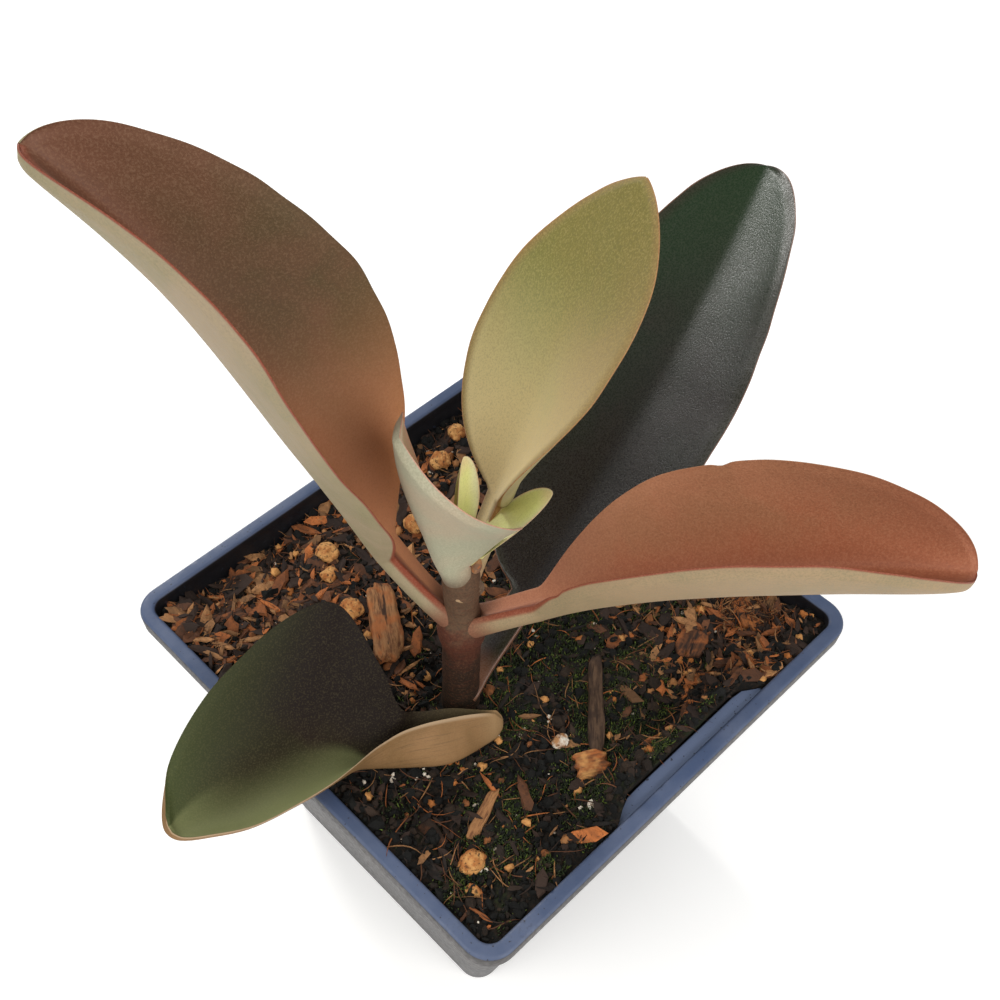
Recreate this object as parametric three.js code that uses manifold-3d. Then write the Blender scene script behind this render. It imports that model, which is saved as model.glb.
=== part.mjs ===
// A young kalanchoe with thick coppery leaves, growing in a square plastic nursery pot.
// Millimetres, +Z up. The origin is the centre of the pot's flat underside, and the pot's sides
// face +X, -X, +Y and -Y. Angles are in degrees, and a heading is measured from +X towards +Y.
import * as THREE from "three";
import { mergeVertices } from "three/addons/utils/BufferGeometryUtils.js";
import Module from "manifold-3d";

const wasm = await Module();
wasm.setup();

// ---------------------------------------------------------------- driving dimensions

const GAP = 0.3; // clearance between pieces that touch
const MERGE = 1e-4; // corners closer than this are one corner
const ROUGHNESS = { plastic: 0.5, soil: 0.95, stem: 0.7, leaf: 0.6, litter: 0.9 };

const POT = {
  side: 100, // across the lip, outside
  height: 88,
  baseSide: 70, // across the walls at the underside
  lipWidth: 3.3, // flat top of the lip
  lipDepth: 4,
  lipRound: 0.7,
  wall: 1.2,
  floor: 1.6,
  cornerRadius: 7, // at the lip
  baseCornerRadius: 5,
  innerCornerRadius: 3.8,
  drainHole: 9,
  drainSpacing: 40, // between the centres of neighbouring drain holes
  colour: 0x4b586c,
};

const SOIL = {
  level: 82.5, // mean height of the surface
  swell: 0.36, // height of its gentle waves
  waves: { x: 9, y: 11, diagonal: 6, diagonalShare: 0.6 }, // their lengths and how much the last adds
  shoulder: 1.5, // how far below the surface the mix meets the pot's wall
  rings: [0.985, 0.86, 0.7, 0.52, 0.34, 0.16], // the surface's rings, as shares of its half side
  colour: 0x2b221a,
};

const STEM = {
  x: -16, // the stem stands off-centre in the pot
  y: -8,
  foot: 64, // its lower end, in the root ball
  top: 129,
  // radius at each height, with a swelling where a pair of leaves leaves the stem
  profile: [
    [64, 1.6],
    [72, 3.0],
    [82, 3.6],
    [92, 3.4],
    [103, 3.4],
    [109, 3.9],
    [113, 3.1],
    [117, 2.6],
    [121, 2.8],
    [125, 2.2],
    [129, 1.2],
  ],
  sides: 16,
  colour: 0x7a6250,
};

// Each leaf is a blade on a petiole. heading, climb and roll are given where the petiole leaves the
// stem and at the tip; arch and twist add to climb and roll half way along. fold is how far each half
// rises from flat, from the stem end to the tip end, changing between foldFrom and foldTo; cup curls
// the margins up further. lean makes the left half wider than the right by that share.
const LEAVES = {
  leaf_left: {
    z: 108.5, heading: 121, sweep: 16, climb: [46.5, 43], arch: 22, petiole: 21, blade: 74,
    petioleHalf: 3.2, half: 20, baseShape: 0.6, tipShape: 0.65, fold: [44.5, 67],
    foldFrom: 0.5, foldTo: 0.95, cup: 15.5, roll: [32.5, -23], twist: -10, lean: 0.05,
    thickness: [3.4, 1.7, 0.9], rows: 24, colour: 0x6a4630,
  },
  leaf_right: {
    z: 107.5, heading: -57.5, sweep: 0, climb: [43, 10.5], arch: 2.5, petiole: 17, blade: 63,
    petioleHalf: 3.1, half: 18.25, baseShape: 1.0, tipShape: 0.65, fold: [51, 66.5],
    foldFrom: 0, foldTo: 1, cup: 29, roll: [-23, 21], twist: 7, lean: 0,
    thickness: [3.4, 1.7, 0.9], rows: 22, colour: 0x7d4b32,
  },
  leaf_back_olive: {
    z: 118, heading: 7, sweep: -6, climb: [60, 52], arch: 3, petiole: 17.5, blade: 47.5,
    petioleHalf: 2.9, half: 17.75, baseShape: 0.65, tipShape: 0.75, fold: [37.5, -4.5],
    foldFrom: 0, foldTo: 1, cup: 10, roll: [-44, -22.5], twist: -2, lean: 0,
    thickness: [2.8, 1.5, 0.9], rows: 20, colour: 0x968c46,
  },
  leaf_back_dark: {
    z: 86.5, heading: 6, sweep: 10.5, climb: [25, 31.5], arch: 1, petiole: 22, blade: 88.5,
    petioleHalf: 3, half: 17.75, baseShape: 0.45, tipShape: 0.5, fold: [11.5, 19],
    foldFrom: 0, foldTo: 1, cup: 12.5, roll: [1.5, -13], twist: -0.5, lean: 0,
    thickness: [3.2, 1.8, 0.9], rows: 24, colour: 0x2d3026,
  },
  leaf_front_cupped: {
    z: 118, heading: 185.5, sweep: -19, climb: [76, 86.5], arch: -8.5, petiole: 11, blade: 32.5,
    petioleHalf: 3, half: 12, baseShape: 0.65, tipShape: 0.7, fold: [52.5, 9.5],
    foldFrom: 0.05, foldTo: 1.05, cup: 22.5, roll: [15, -19], twist: 9.5, lean: 0,
    thickness: [2.6, 1.3, 0.9], rows: 18, colour: 0xa5a582,
  },
  bud_leaf_left: {
    x: -16.8, y: -7.2, z: 127.5, heading: 100.5, sweep: -2, climb: [96, 88.5], arch: 2,
    petiole: 2, blade: 20.5, petioleHalf: 1.2, half: 2.25, baseShape: 0.45, tipShape: 0.5,
    fold: [26.5, 20], foldFrom: 0, foldTo: 1, cup: 21, roll: [1, -2], twist: 1.5, lean: 0,
    thickness: [1.5, 1.3, 0.8], rows: 10, colour: 0xaabe64,
  },
  bud_leaf_right: {
    x: -15.2, y: -8.8, z: 127.5, heading: -39.5, sweep: -3.5, climb: [49.5, 46.5], arch: 2.5,
    petiole: 2, blade: 16, petioleHalf: 1.2, half: 3, baseShape: 0.6, tipShape: 0.4,
    fold: [22, 24], foldFrom: 0, foldTo: 1, cup: 22, roll: [-2.5, -5], twist: -2.5, lean: 0,
    thickness: [1.5, 1.3, 0.8], rows: 10, colour: 0xcdd796,
  },
};
const KEEL = 1.3; // how far from the midrib the fold takes up, so the keel is round and not a crease
const COLUMNS = 10; // strips across each leaf face
const ARC_STEPS = 10; // steps that a section's curve is summed in, from the midrib outwards
const TIP_SHARE = 0.994; // where a blade ends, so that its tip is a narrow edge and not a point
const PETIOLE_FADE = 6; // how fast a petiole's thickness gives way to the blade's

// The spoon leaf lies over the pot's edge and is folded over at its stem end. It is lofted through
// cross-sections, each given by its far margin, its midrib and its near margin.
const SPOON = [
  [[-13.5, -17, 87.5], [-15.5, -19, 85.3], [-14.7, -17.9, 88.4]],
  [[-16, -15, 88], [-19.5, -18.5, 85], [-17.5, -16, 90]],
  [[-21, -11, 89.5], [-27, -17, 85.5], [-24, -13, 92]],
  [[-26.5, -7.5, 91], [-33, -13, 86.5], [-30.5, -10.5, 93.5]],
  [[-29, -6, 94], [-38, -9, 88.5], [-36, -10, 94.5]],
  [[-27.5, 0.5, 99], [-41, -3.5, 90], [-43.5, -10, 95]],
  [[-26.5, 12, 104], [-48, 2, 91], [-53.5, -9, 95]],
  [[-34.5, 15.5, 105], [-57, 5, 91], [-62, -6.5, 94]],
  [[-51.5, 15.5, 102], [-65, 6, 91], [-68.5, -2, 93]],
  [[-65, 12, 97], [-70.5, 5.5, 91], [-71.5, 1, 92]],
  [[-71.5, 6, 93], [-72.5, 4.5, 92], [-72.5, 3, 92]],
];
const SPOON_THICKNESS = [1.7, 0.9]; // at the midrib and at the margins
const SPOON_FOLDED = [0.35, 0.65]; // the fold opens out between these shares of its length
const SPOON_FOLDED_THICKNESS = 0.45; // share of the thickness left where it is folded
const SPOON_REACH = [0.02, 0.99]; // the shares of those curves where the leaf starts and ends
const SPOON_ROWS = 26;
const SPOON_COLOUR = 0x4b4a2c;

// Loose pieces that lie on the soil: x, y, then size and turn.
const PEBBLES = [
  ["pumice_pebble_1", -37.5, -33.5, 2.1, 0xc08a4a],
  ["pumice_pebble_2", -41.5, -37.5, 1.8, 0xb08050],
  ["pumice_pebble_3", -12, 35.5, 2.1, 0xb9793f],
  ["pumice_pebble_4", -17.5, 21.5, 2.0, 0xc9a07a],
  ["pumice_pebble_5", 22.5, 38, 2.1, 0xc4a066],
  ["pumice_pebble_6", 6.5, 29, 2.2, 0xc98a4c],
  ["pumice_pebble_7", 30.5, 41, 2.0, 0xb9853f],
  ["pumice_pebble_8", -15, 31, 1.7, 0xa87848],
  ["pumice_pebble_9", 30.5, -40.5, 1.7, 0xc39a6a],
  ["perlite_grain_1", -14.5, -41, 1.6, 0xe6e2d8],
  ["perlite_grain_2", -9, -27.5, 1.4, 0xdedac8],
  ["perlite_grain_3", 11, 26, 1.3, 0xe0dcd0],
];
const PEBBLE_STRETCH = [1.1, 0.95, 0.8]; // of the radius, along X, Y and Z
const PEBBLE_LUMP = 0.12; // share of the radius by which it swells and dips
// x, y, length, width, thickness, turn
const BARK_CHIPS = [
  ["bark_chip_1", -15, 15, 18, 5.4, 2.0, 55, 0x9a6a44],
  ["bark_chip_2", 25.5, -30, 6.6, 5.2, 1.6, 20, 0x8a5a3c],
  ["bark_chip_3", -8.5, -34.5, 5.6, 5.0, 1.8, -30, 0xa8683a],
  ["bark_chip_4", -39.5, -24.5, 9, 4.2, 1.2, 75, 0x5e4130],
  ["bark_chip_5", -38, 37.5, 12, 3.6, 1.4, -20, 0x7c4a2c],
  ["bark_chip_6", 38.5, -33, 8, 3.8, 1.4, 65, 0xa5683c],
  ["bark_chip_7", -29.5, -28, 10, 2.2, 1.2, 20, 0xa87a4e],
];
// A chip's eight-cornered outline, as shares of its length and width, and its layers from the bottom
// up: the outline's share and the height's share.
const CHIP_OUTLINE = [
  [-0.5, -0.22], [-0.28, -0.5], [0.3, -0.42], [0.5, -0.12],
  [0.44, 0.3], [0.18, 0.5], [-0.3, 0.4], [-0.46, 0.16],
];
const CHIP_LAYERS = [[0.86, 0], [1, 0.35], [0.97, 0.7], [0.8, 1]];
const STICK = { from: [9.5, -19.5], to: [-5.5, -33.5], radius: 1.2, taper: 0.75, colour: 0x75604c };
const FOOTPRINT_DIRECTIONS = 12; // in which the soil is felt out under a loose piece

// ---------------------------------------------------------------- meshes

const rad = THREE.MathUtils.degToRad;
const vec = (x, y, z) => new THREE.Vector3(x, y, z);
const smooth = (x) => THREE.MathUtils.smoothstep(x, 0, 1);

// The skin between rings of equal length, each ring counter-clockwise as seen from the far end.
function skin(rings) {
  const count = rings[0].length;
  const faces = [];
  for (let i = 0; i + 1 < rings.length; i++)
    for (let j = 0; j < count; j++) {
      const a = i * count + j;
      const b = i * count + ((j + 1) % count);
      faces.push(a, b, b + count, a, b + count, a + count);
    }
  return faces;
}

function closedGeometry(points, faces) {
  const geometry = new THREE.BufferGeometry().setFromPoints(points);
  geometry.setIndex(faces);
  return geometry;
}

// A closed body through rings, with a fan over the first and the last ring.
function loft(rings) {
  const count = rings[0].length;
  const points = rings.flat();
  const faces = skin(rings);
  const centre = (ring) =>
    ring.reduce((sum, p) => sum.add(p), vec(0, 0, 0)).divideScalar(count);
  const first = points.push(centre(rings[0])) - 1;
  const last = points.push(centre(rings[rings.length - 1])) - 1;
  const top = (rings.length - 1) * count;
  for (let j = 0; j < count; j++) {
    const next = (j + 1) % count;
    faces.push(first, next, j);
    faces.push(last, top + j, top + next);
  }
  return closedGeometry(points, faces);
}

// A closed body through the rings of a leaf. Each end is closed by a strip from the upper face to the
// lower one, because a folded section has no centre to fan out from.
function loftLeaf(rings) {
  const count = rings[0].length;
  const faces = skin(rings);
  const top = (rings.length - 1) * count;
  for (let j = 0; j < COLUMNS; j++) {
    const under = count - 1 - j;
    faces.push(j + 1, j, under, j + 1, under, under - 1);
    faces.push(top + j, top + j + 1, top + under, top + j + 1, top + under - 1, top + under);
  }
  return closedGeometry(rings.flat(), faces);
}

function toSolid(geometry) {
  const bare = new THREE.BufferGeometry();
  bare.setAttribute("position", geometry.getAttribute("position"));
  if (geometry.index) bare.setIndex(geometry.index);
  const merged = mergeVertices(bare, MERGE);
  return new wasm.Manifold(
    new wasm.Mesh({
      numProp: 3,
      vertProperties: new Float32Array(merged.getAttribute("position").array),
      triVerts: new Uint32Array(merged.index.array),
    }),
  );
}

function toGeometry(solid) {
  const mesh = solid.getMesh();
  const geometry = new THREE.BufferGeometry();
  geometry.setAttribute("position", new THREE.BufferAttribute(mesh.vertProperties, 3));
  geometry.setIndex(new THREE.BufferAttribute(mesh.triVerts, 1));
  return geometry;
}

// What is left of a geometry once the cutters are taken away: its largest piece.
function trim(geometry, ...cutters) {
  const left = cutters.reduce((body, cutter) => body.subtract(toSolid(cutter)), toSolid(geometry));
  const pieces = left.decompose().sort((a, b) => b.volume() - a.volume());
  return toGeometry(pieces[0]);
}

function makeMesh(name, geometry, colour, roughness) {
  const plain = geometry.index ? geometry.toNonIndexed() : geometry;
  plain.computeVertexNormals();
  const material = new THREE.MeshStandardMaterial({ color: colour, roughness, metalness: 0 });
  const mesh = new THREE.Mesh(plain, material);
  mesh.name = name;
  return mesh;
}

// ---------------------------------------------------------------- pot and soil

// A square with round corners, counter-clockwise from above.
function roundedSquare(half, radius, z, cornerSteps = 4, sideSteps = 4) {
  const ring = [];
  for (let corner = 0; corner < 4; corner++) {
    const turn = (corner * Math.PI) / 2;
    const arc = [];
    for (let k = 0; k <= cornerSteps; k++) {
      const angle = (k / cornerSteps) * (Math.PI / 2);
      const reach = half - radius;
      arc.push(vec(reach + radius * Math.cos(angle), reach + radius * Math.sin(angle), z));
    }
    const last = arc[arc.length - 1];
    for (let k = 1; k < sideSteps; k++)
      arc.push(vec(last.x - (2 * (half - radius) * k) / sideSteps, last.y, z));
    arc.forEach((p) => ring.push(p.applyAxisAngle(vec(0, 0, 1), turn)));
  }
  return ring;
}

const OUTER_TOP = POT.side / 2 - POT.lipWidth + POT.wall; // outside of the wall, at the rim's height
const innerHalf = (z) => {
  const base = POT.baseSide / 2 - POT.wall;
  return THREE.MathUtils.lerp(base, OUTER_TOP - POT.wall, z / POT.height);
};
const cornerAt = (z) => THREE.MathUtils.lerp(POT.baseCornerRadius, POT.cornerRadius, z / POT.height);

function buildPot() {
  const lipBottom = POT.height - POT.lipDepth;
  const half = POT.side / 2;
  const wallAtLip = innerHalf(lipBottom) + POT.wall;
  const r = POT.cornerRadius;
  const inset = POT.lipRound;
  const rings = [
    roundedSquare(POT.baseSide / 2 - inset, POT.baseCornerRadius - inset, 0),
    roundedSquare(POT.baseSide / 2, POT.baseCornerRadius, inset),
    roundedSquare(wallAtLip, cornerAt(lipBottom), lipBottom),
    roundedSquare(half - inset / 2, r - inset / 2, lipBottom),
    roundedSquare(half, r, lipBottom + inset / 2),
    roundedSquare(half, r, POT.height - inset),
    roundedSquare(half - inset, r - inset, POT.height),
    roundedSquare(half - POT.lipWidth + inset, POT.innerCornerRadius + inset, POT.height),
    roundedSquare(innerHalf(POT.height - inset), POT.innerCornerRadius, POT.height - inset),
    roundedSquare(innerHalf(POT.floor), POT.innerCornerRadius, POT.floor),
  ];
  const holes = [];
  for (const sx of [-1, 1])
    for (const sy of [-1, 1]) {
      const hole = new THREE.CylinderGeometry(POT.drainHole / 2, POT.drainHole / 2, 3 * POT.floor, 20);
      hole.rotateX(Math.PI / 2);
      hole.translate((sx * POT.drainSpacing) / 2, (sy * POT.drainSpacing) / 2, POT.floor / 2);
      holes.push(hole);
    }
  return trim(loft(rings), ...holes);
}

// Height of the soil surface: two slow waves that fade at the pot's wall.
function soilHeight(x, y) {
  const { waves } = SOIL;
  const crossed = Math.sin(x / waves.x + 1) * Math.cos(y / waves.y);
  return SOIL.level + SOIL.swell * (crossed + waves.diagonalShare * Math.sin((x + y) / waves.diagonal));
}

function buildSoil(socket) {
  const bottom = POT.floor + GAP;
  const wallRing = (z) => roundedSquare(innerHalf(z) - GAP, POT.innerCornerRadius, z);
  const rings = [wallRing(bottom), wallRing(SOIL.level - SOIL.shoulder)];
  for (const share of SOIL.rings) {
    const ring = wallRing(SOIL.level);
    ring.forEach((p) => p.multiplyScalar(share).setZ(soilHeight(p.x, p.y)));
    rings.push(ring);
  }
  return trim(loft(rings), socket);
}

// ---------------------------------------------------------------- plant

function buildStem(grow = 0) {
  const rings = STEM.profile.map(([z, radius]) => {
    const ring = [];
    for (let k = 0; k < STEM.sides; k++) {
      const angle = (k / STEM.sides) * 2 * Math.PI;
      const r = radius + grow;
      ring.push(vec(STEM.x + r * Math.cos(angle), STEM.y + r * Math.sin(angle), z));
    }
    return ring;
  });
  if (grow > 0) {
    rings[0].forEach((p) => (p.z -= grow));
    rings[rings.length - 1].forEach((p) => (p.z += grow));
  }
  return loft(rings);
}

// The midrib, walked from the stem to the tip in equal steps, with the frame that carries the blade:
// along it, to its left and up out of its upper face.
function walkMidrib(leaf) {
  const length = leaf.petiole + leaf.blade;
  const step = length / leaf.rows;
  const point = vec(leaf.x ?? STEM.x, leaf.y ?? STEM.y, leaf.z);
  const stations = [];
  let before = null;
  for (let i = 0; i <= leaf.rows; i++) {
    const t = i / leaf.rows;
    const hump = 4 * t * (1 - t);
    const heading = rad(leaf.heading + leaf.sweep * t);
    const climb = rad(THREE.MathUtils.lerp(...leaf.climb, t) + leaf.arch * hump);
    const roll = rad(THREE.MathUtils.lerp(...leaf.roll, t) + leaf.twist * hump);
    const along = vec(
      Math.cos(heading) * Math.cos(climb),
      Math.sin(heading) * Math.cos(climb),
      Math.sin(climb),
    );
    const left = vec(-Math.sin(heading), Math.cos(heading), 0);
    const up = along.clone().cross(left);
    left.applyAxisAngle(along, roll);
    up.applyAxisAngle(along, roll);
    if (before) point.addScaledVector(before.clone().add(along), step / 2);
    before = along;
    const q = THREE.MathUtils.clamp((t * length - leaf.petiole) / leaf.blade, 0, 1);
    stations.push({ t, q, point: point.clone(), left, up });
  }
  return stations;
}

// Half width of the blade at the share q of its length: q^a (1 - q)^b, scaled to 1 at its widest,
// on top of the petiole's own half width.
function halfWidth(leaf, q, side) {
  const a = leaf.baseShape;
  const b = leaf.tipShape;
  const widest = a / (a + b);
  const blade = (q ** a * (1 - q) ** b) / (widest ** a * (1 - widest) ** b);
  return leaf.petioleHalf * Math.sqrt(1 - q) + leaf.half * blade * (1 + leaf.lean * side);
}

// A point of the blade at v, from -1 at the right margin to 1 at the left one, with the direction
// out of its upper face. The section starts flat at the midrib and turns up by fold and cup.
function bladePoint(leaf, station, v, grow) {
  const side = Math.sign(v);
  const width = halfWidth(leaf, station.q, side) + grow;
  const span = smooth((station.t - leaf.foldFrom) / (leaf.foldTo - leaf.foldFrom));
  const fold = rad(THREE.MathUtils.lerp(...leaf.fold, span));
  const turnAt = (k) => (fold * k * width) / (k * width + KEEL) + rad(leaf.cup) * k;
  let across = 0;
  let rise = 0;
  for (let i = 0; i < ARC_STEPS; i++) {
    const turn = turnAt(((i + 0.5) / ARC_STEPS) * Math.abs(v));
    across += (Math.cos(turn) * Math.abs(v)) / ARC_STEPS;
    rise += (Math.sin(turn) * Math.abs(v)) / ARC_STEPS;
  }
  const turn = turnAt(Math.abs(v));
  const point = station.point
    .clone()
    .addScaledVector(station.left, side * across * width)
    .addScaledVector(station.up, rise * width);
  const out = station.up
    .clone()
    .multiplyScalar(Math.cos(turn))
    .addScaledVector(station.left, -side * Math.sin(turn));
  return { point, out };
}

// Thickness: a stout petiole that thins into the blade, and thinner margins.
function leafThickness(leaf, q, v) {
  const [petiole, blade, margin] = leaf.thickness;
  const midrib = blade + (petiole - blade) * Math.exp(-PETIOLE_FADE * q);
  return margin + (midrib - margin) * (1 - v * v);
}

const UPPER_SHARE = 0.3; // of the thickness, above the surface that the dimensions describe

// One ring around a leaf's section: over the upper face from left to right, then back under it.
function sectionRing(sample, thickness, grow) {
  const ring = [];
  for (let j = 0; j <= COLUMNS; j++) {
    const v = 1 - (2 * j) / COLUMNS;
    const { point, out } = sample(v);
    ring.push(point.addScaledVector(out, UPPER_SHARE * thickness(v) + grow));
  }
  for (let j = COLUMNS; j >= 0; j--) {
    const v = 1 - (2 * j) / COLUMNS;
    const { point, out } = sample(v);
    ring.push(point.addScaledVector(out, (UPPER_SHARE - 1) * thickness(v) - grow));
  }
  return ring;
}

function buildLeaf(leaf, grow = 0) {
  const stations = walkMidrib(leaf);
  stations[stations.length - 1].q = TIP_SHARE;
  const rings = stations.map((station) =>
    sectionRing(
      (v) => bladePoint(leaf, station, v, grow),
      (v) => leafThickness(leaf, station.q, v),
      grow,
    ),
  );
  return loftLeaf(rings);
}

// The spoon leaf: each margin and the midrib is a smooth curve through its points. Across the leaf they
// are joined by half an ellipse where it is folded, and by a parabola where it lies open.
function buildSpoon() {
  const rails = [0, 1, 2].map(
    (k) => new THREE.CatmullRomCurve3(SPOON.map((row) => vec(...row[k])), false, "catmullrom", 0.5),
  );
  const openness = (u) => THREE.MathUtils.smoothstep(u, ...SPOON_FOLDED);
  const at = (u, v) => {
    const [far, keel, near] = rails.map((rail) => rail.getPoint(u));
    const open = openness(u);
    const across = THREE.MathUtils.lerp(Math.sin((v * Math.PI) / 2), v, open);
    const depth = THREE.MathUtils.lerp(Math.cos((v * Math.PI) / 2), 1 - v * v, open);
    return far
      .multiplyScalar((1 - across - depth) / 2)
      .addScaledVector(keel, depth)
      .addScaledVector(near, (1 + across - depth) / 2);
  };
  const nudge = 0.01;
  const sample = (u) => (v) => {
    const along = at(Math.min(u + nudge, 1), v).sub(at(u - nudge, v));
    const across = at(u, v + nudge).sub(at(u, v - nudge));
    return { point: at(u, v), out: along.cross(across).normalize() };
  };
  const [midrib, margin] = SPOON_THICKNESS;
  const rings = [];
  for (let i = 0; i <= SPOON_ROWS; i++) {
    const u = THREE.MathUtils.lerp(...SPOON_REACH, i / SPOON_ROWS);
    const share = THREE.MathUtils.lerp(SPOON_FOLDED_THICKNESS, 1, openness(u));
    const thickness = (v) => share * (margin + (midrib - margin) * (1 - v * v));
    rings.push(sectionRing(sample(u), thickness, 0));
  }
  return loftLeaf(rings);
}

// ---------------------------------------------------------------- loose pieces on the soil

// The highest soil under a round footprint, so that a piece rests on it.
function restHeight(x, y, reach) {
  let highest = soilHeight(x, y);
  for (let k = 0; k < FOOTPRINT_DIRECTIONS; k++) {
    const angle = (k / FOOTPRINT_DIRECTIONS) * 2 * Math.PI;
    for (const share of [0.5, 1]) {
      const dx = reach * share * Math.cos(angle);
      const dy = reach * share * Math.sin(angle);
      highest = Math.max(highest, soilHeight(x + dx, y + dy));
    }
  }
  return highest + GAP;
}

// A lumpy rounded pebble: a ball whose radius swells and dips with direction.
function buildPebble(x, y, radius) {
  const ball = mergeVertices(
    new THREE.BufferGeometry().setAttribute(
      "position",
      new THREE.IcosahedronGeometry(1, 1).getAttribute("position"),
    ),
    MERGE,
  );
  const position = ball.getAttribute("position");
  let lowest = 0;
  for (let i = 0; i < position.count; i++) {
    const p = vec(position.getX(i), position.getY(i), position.getZ(i));
    const lump = 1 + PEBBLE_LUMP * Math.sin(3 * p.x + x) * Math.cos(2.5 * p.y + y);
    p.multiply(vec(...PEBBLE_STRETCH)).multiplyScalar(radius * lump);
    position.setXYZ(i, p.x, p.y, p.z);
    lowest = Math.min(lowest, p.z);
  }
  ball.rotateZ(x);
  ball.translate(x, y, restHeight(x, y, radius) - lowest);
  return ball;
}

// A flat chip of bark with splintered ends and a bevelled edge.
function buildChip(x, y, length, width, thickness, turn) {
  const layer = ([share, height]) =>
    CHIP_OUTLINE.map(([a, b]) => vec(a * length * share, b * width * share, thickness * height));
  const chip = loft(CHIP_LAYERS.map(layer));
  chip.rotateZ(rad(turn));
  chip.translate(x, y, restHeight(x, y, length / 2));
  return chip;
}

function buildStick() {
  const start = vec(...STICK.from, 0);
  const end = vec(...STICK.to, 0);
  const length = start.distanceTo(end);
  const stick = new THREE.CylinderGeometry(STICK.radius * STICK.taper, STICK.radius, length, 10);
  const middle = start.clone().add(end).divideScalar(2);
  const across = end.clone().sub(start);
  stick.rotateZ(Math.PI / 2);
  stick.rotateZ(Math.atan2(across.y, across.x));
  stick.translate(middle.x, middle.y, restHeight(middle.x, middle.y, length / 2) + STICK.radius);
  return stick;
}

// ---------------------------------------------------------------- the plant in its pot

const group = new THREE.Group();
group.name = "potted_kalanchoe";
const add = (...spec) => group.add(makeMesh(...spec));

const socket = buildStem(GAP);
add("pot", buildPot(), POT.colour, ROUGHNESS.plastic);
add("potting_soil", buildSoil(socket), SOIL.colour, ROUGHNESS.soil);
add("stem", buildStem(), STEM.colour, ROUGHNESS.stem);

// A petiole is cut where it meets the stem, and the younger leaves give way to the older ones.
const givesWayTo = {
  leaf_front_cupped: ["leaf_back_olive"],
  bud_leaf_left: ["leaf_back_olive", "leaf_front_cupped"],
  bud_leaf_right: ["leaf_back_olive", "leaf_front_cupped", "bud_leaf_left"],
};
for (const [name, leaf] of Object.entries(LEAVES)) {
  const cutters = (givesWayTo[name] ?? []).map((other) => buildLeaf(LEAVES[other], GAP));
  add(name, trim(buildLeaf(leaf), socket, ...cutters), leaf.colour, ROUGHNESS.leaf);
}
add("leaf_front_spoon", buildSpoon(), SPOON_COLOUR, ROUGHNESS.leaf);

for (const [name, x, y, radius, colour] of PEBBLES)
  add(name, buildPebble(x, y, radius), colour, ROUGHNESS.litter);
for (const [name, x, y, length, width, thickness, turn, colour] of BARK_CHIPS)
  add(name, buildChip(x, y, length, width, thickness, turn), colour, ROUGHNESS.litter);
add("wood_stick", buildStick(), STICK.colour, ROUGHNESS.litter);

export default group;
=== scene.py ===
"""A young kalanchoe with thick felted leaves in a square plastic nursery pot.

The sizes are millimetres in the part's own frame: +Z up, the origin at the centre of the pot's
underside, the pot's sides facing +X, -X, +Y and -Y. Meshes are written in metres. Headings are
degrees from +X towards +Y.
"""

import math
from functools import partial

import bpy
import numpy as np
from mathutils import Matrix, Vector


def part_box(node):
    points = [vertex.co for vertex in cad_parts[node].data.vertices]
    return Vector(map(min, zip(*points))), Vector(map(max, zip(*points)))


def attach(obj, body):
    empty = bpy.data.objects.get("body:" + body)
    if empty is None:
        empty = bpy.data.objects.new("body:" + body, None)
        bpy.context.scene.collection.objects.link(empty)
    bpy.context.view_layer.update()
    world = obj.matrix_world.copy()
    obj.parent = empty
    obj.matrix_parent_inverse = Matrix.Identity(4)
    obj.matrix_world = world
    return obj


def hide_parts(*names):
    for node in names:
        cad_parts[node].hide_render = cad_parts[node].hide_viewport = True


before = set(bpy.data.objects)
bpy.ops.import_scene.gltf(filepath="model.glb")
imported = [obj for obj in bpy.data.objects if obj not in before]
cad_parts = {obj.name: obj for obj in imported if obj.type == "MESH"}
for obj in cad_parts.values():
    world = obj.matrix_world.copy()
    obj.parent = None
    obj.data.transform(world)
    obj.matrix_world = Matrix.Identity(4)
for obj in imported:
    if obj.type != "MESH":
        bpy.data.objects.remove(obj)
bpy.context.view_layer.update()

bl_info = {
    "name": "Potted kalanchoe",
    "version": (1, 0, 0),
    "blender": (4, 5, 0),
    "location": "View3D > Sidebar > Kalanchoe",
    "description": "Builds a potted kalanchoe with felted leaves, a nursery pot and bark mix",
    "category": "Add Mesh",
}

MM = 0.001


def box_mm(node):
    """Lowest corner, highest corner and centre of a CAD node, in millimetres."""
    low, high = (np.array(corner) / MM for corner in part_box(node))
    return low, high, (low + high) / 2


# ---------------------------------------------------------------- sizes taken from the frame

POT_HIGH = box_mm("pot")[1]
POT_HALF = POT_HIGH[0]
POT_TOP = POT_HIGH[2]
SOIL_HALF = box_mm("potting_soil")[1][0]
SOIL_REACH = POT_HALF - 2.75  # a little under the lip, whose inner edge is 2.9 mm in
ROOT_BALL_FOOT = POT_HALF * 0.68  # half the root ball's side at the floor
SOIL_FLOOR = box_mm("potting_soil")[0][2]
SOIL_LEVEL = POT_TOP - 5.5
STEM_X, STEM_Y, _ = box_mm("stem")[2]
STEM_LOW = box_mm("stem")[0][2]
STEM_TOP = box_mm("stem")[1][2]

# ---------------------------------------------------------------- numbers over surfaces


def smooth(x, low=0.0, high=1.0):
    """0 below low, 1 above high, and the cubic 3s^2 - 2s^3 in between."""
    s = np.clip((np.asarray(x, float) - low) / (high - low), 0, 1)
    return s * s * (3 - 2 * s)


def lerp(a, b, t):
    """From a to b, in step with t."""
    return a + (b - a) * t


def lattice(cells, seed):
    """A repeatable number from 0 to 1 for every whole-numbered cell: the fraction of a large sine."""
    big = np.sin(cells @ np.array([12.9898, 78.233, 37.719]) + 4.1 * seed) * 43758.5453
    return big - np.floor(big)


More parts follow.
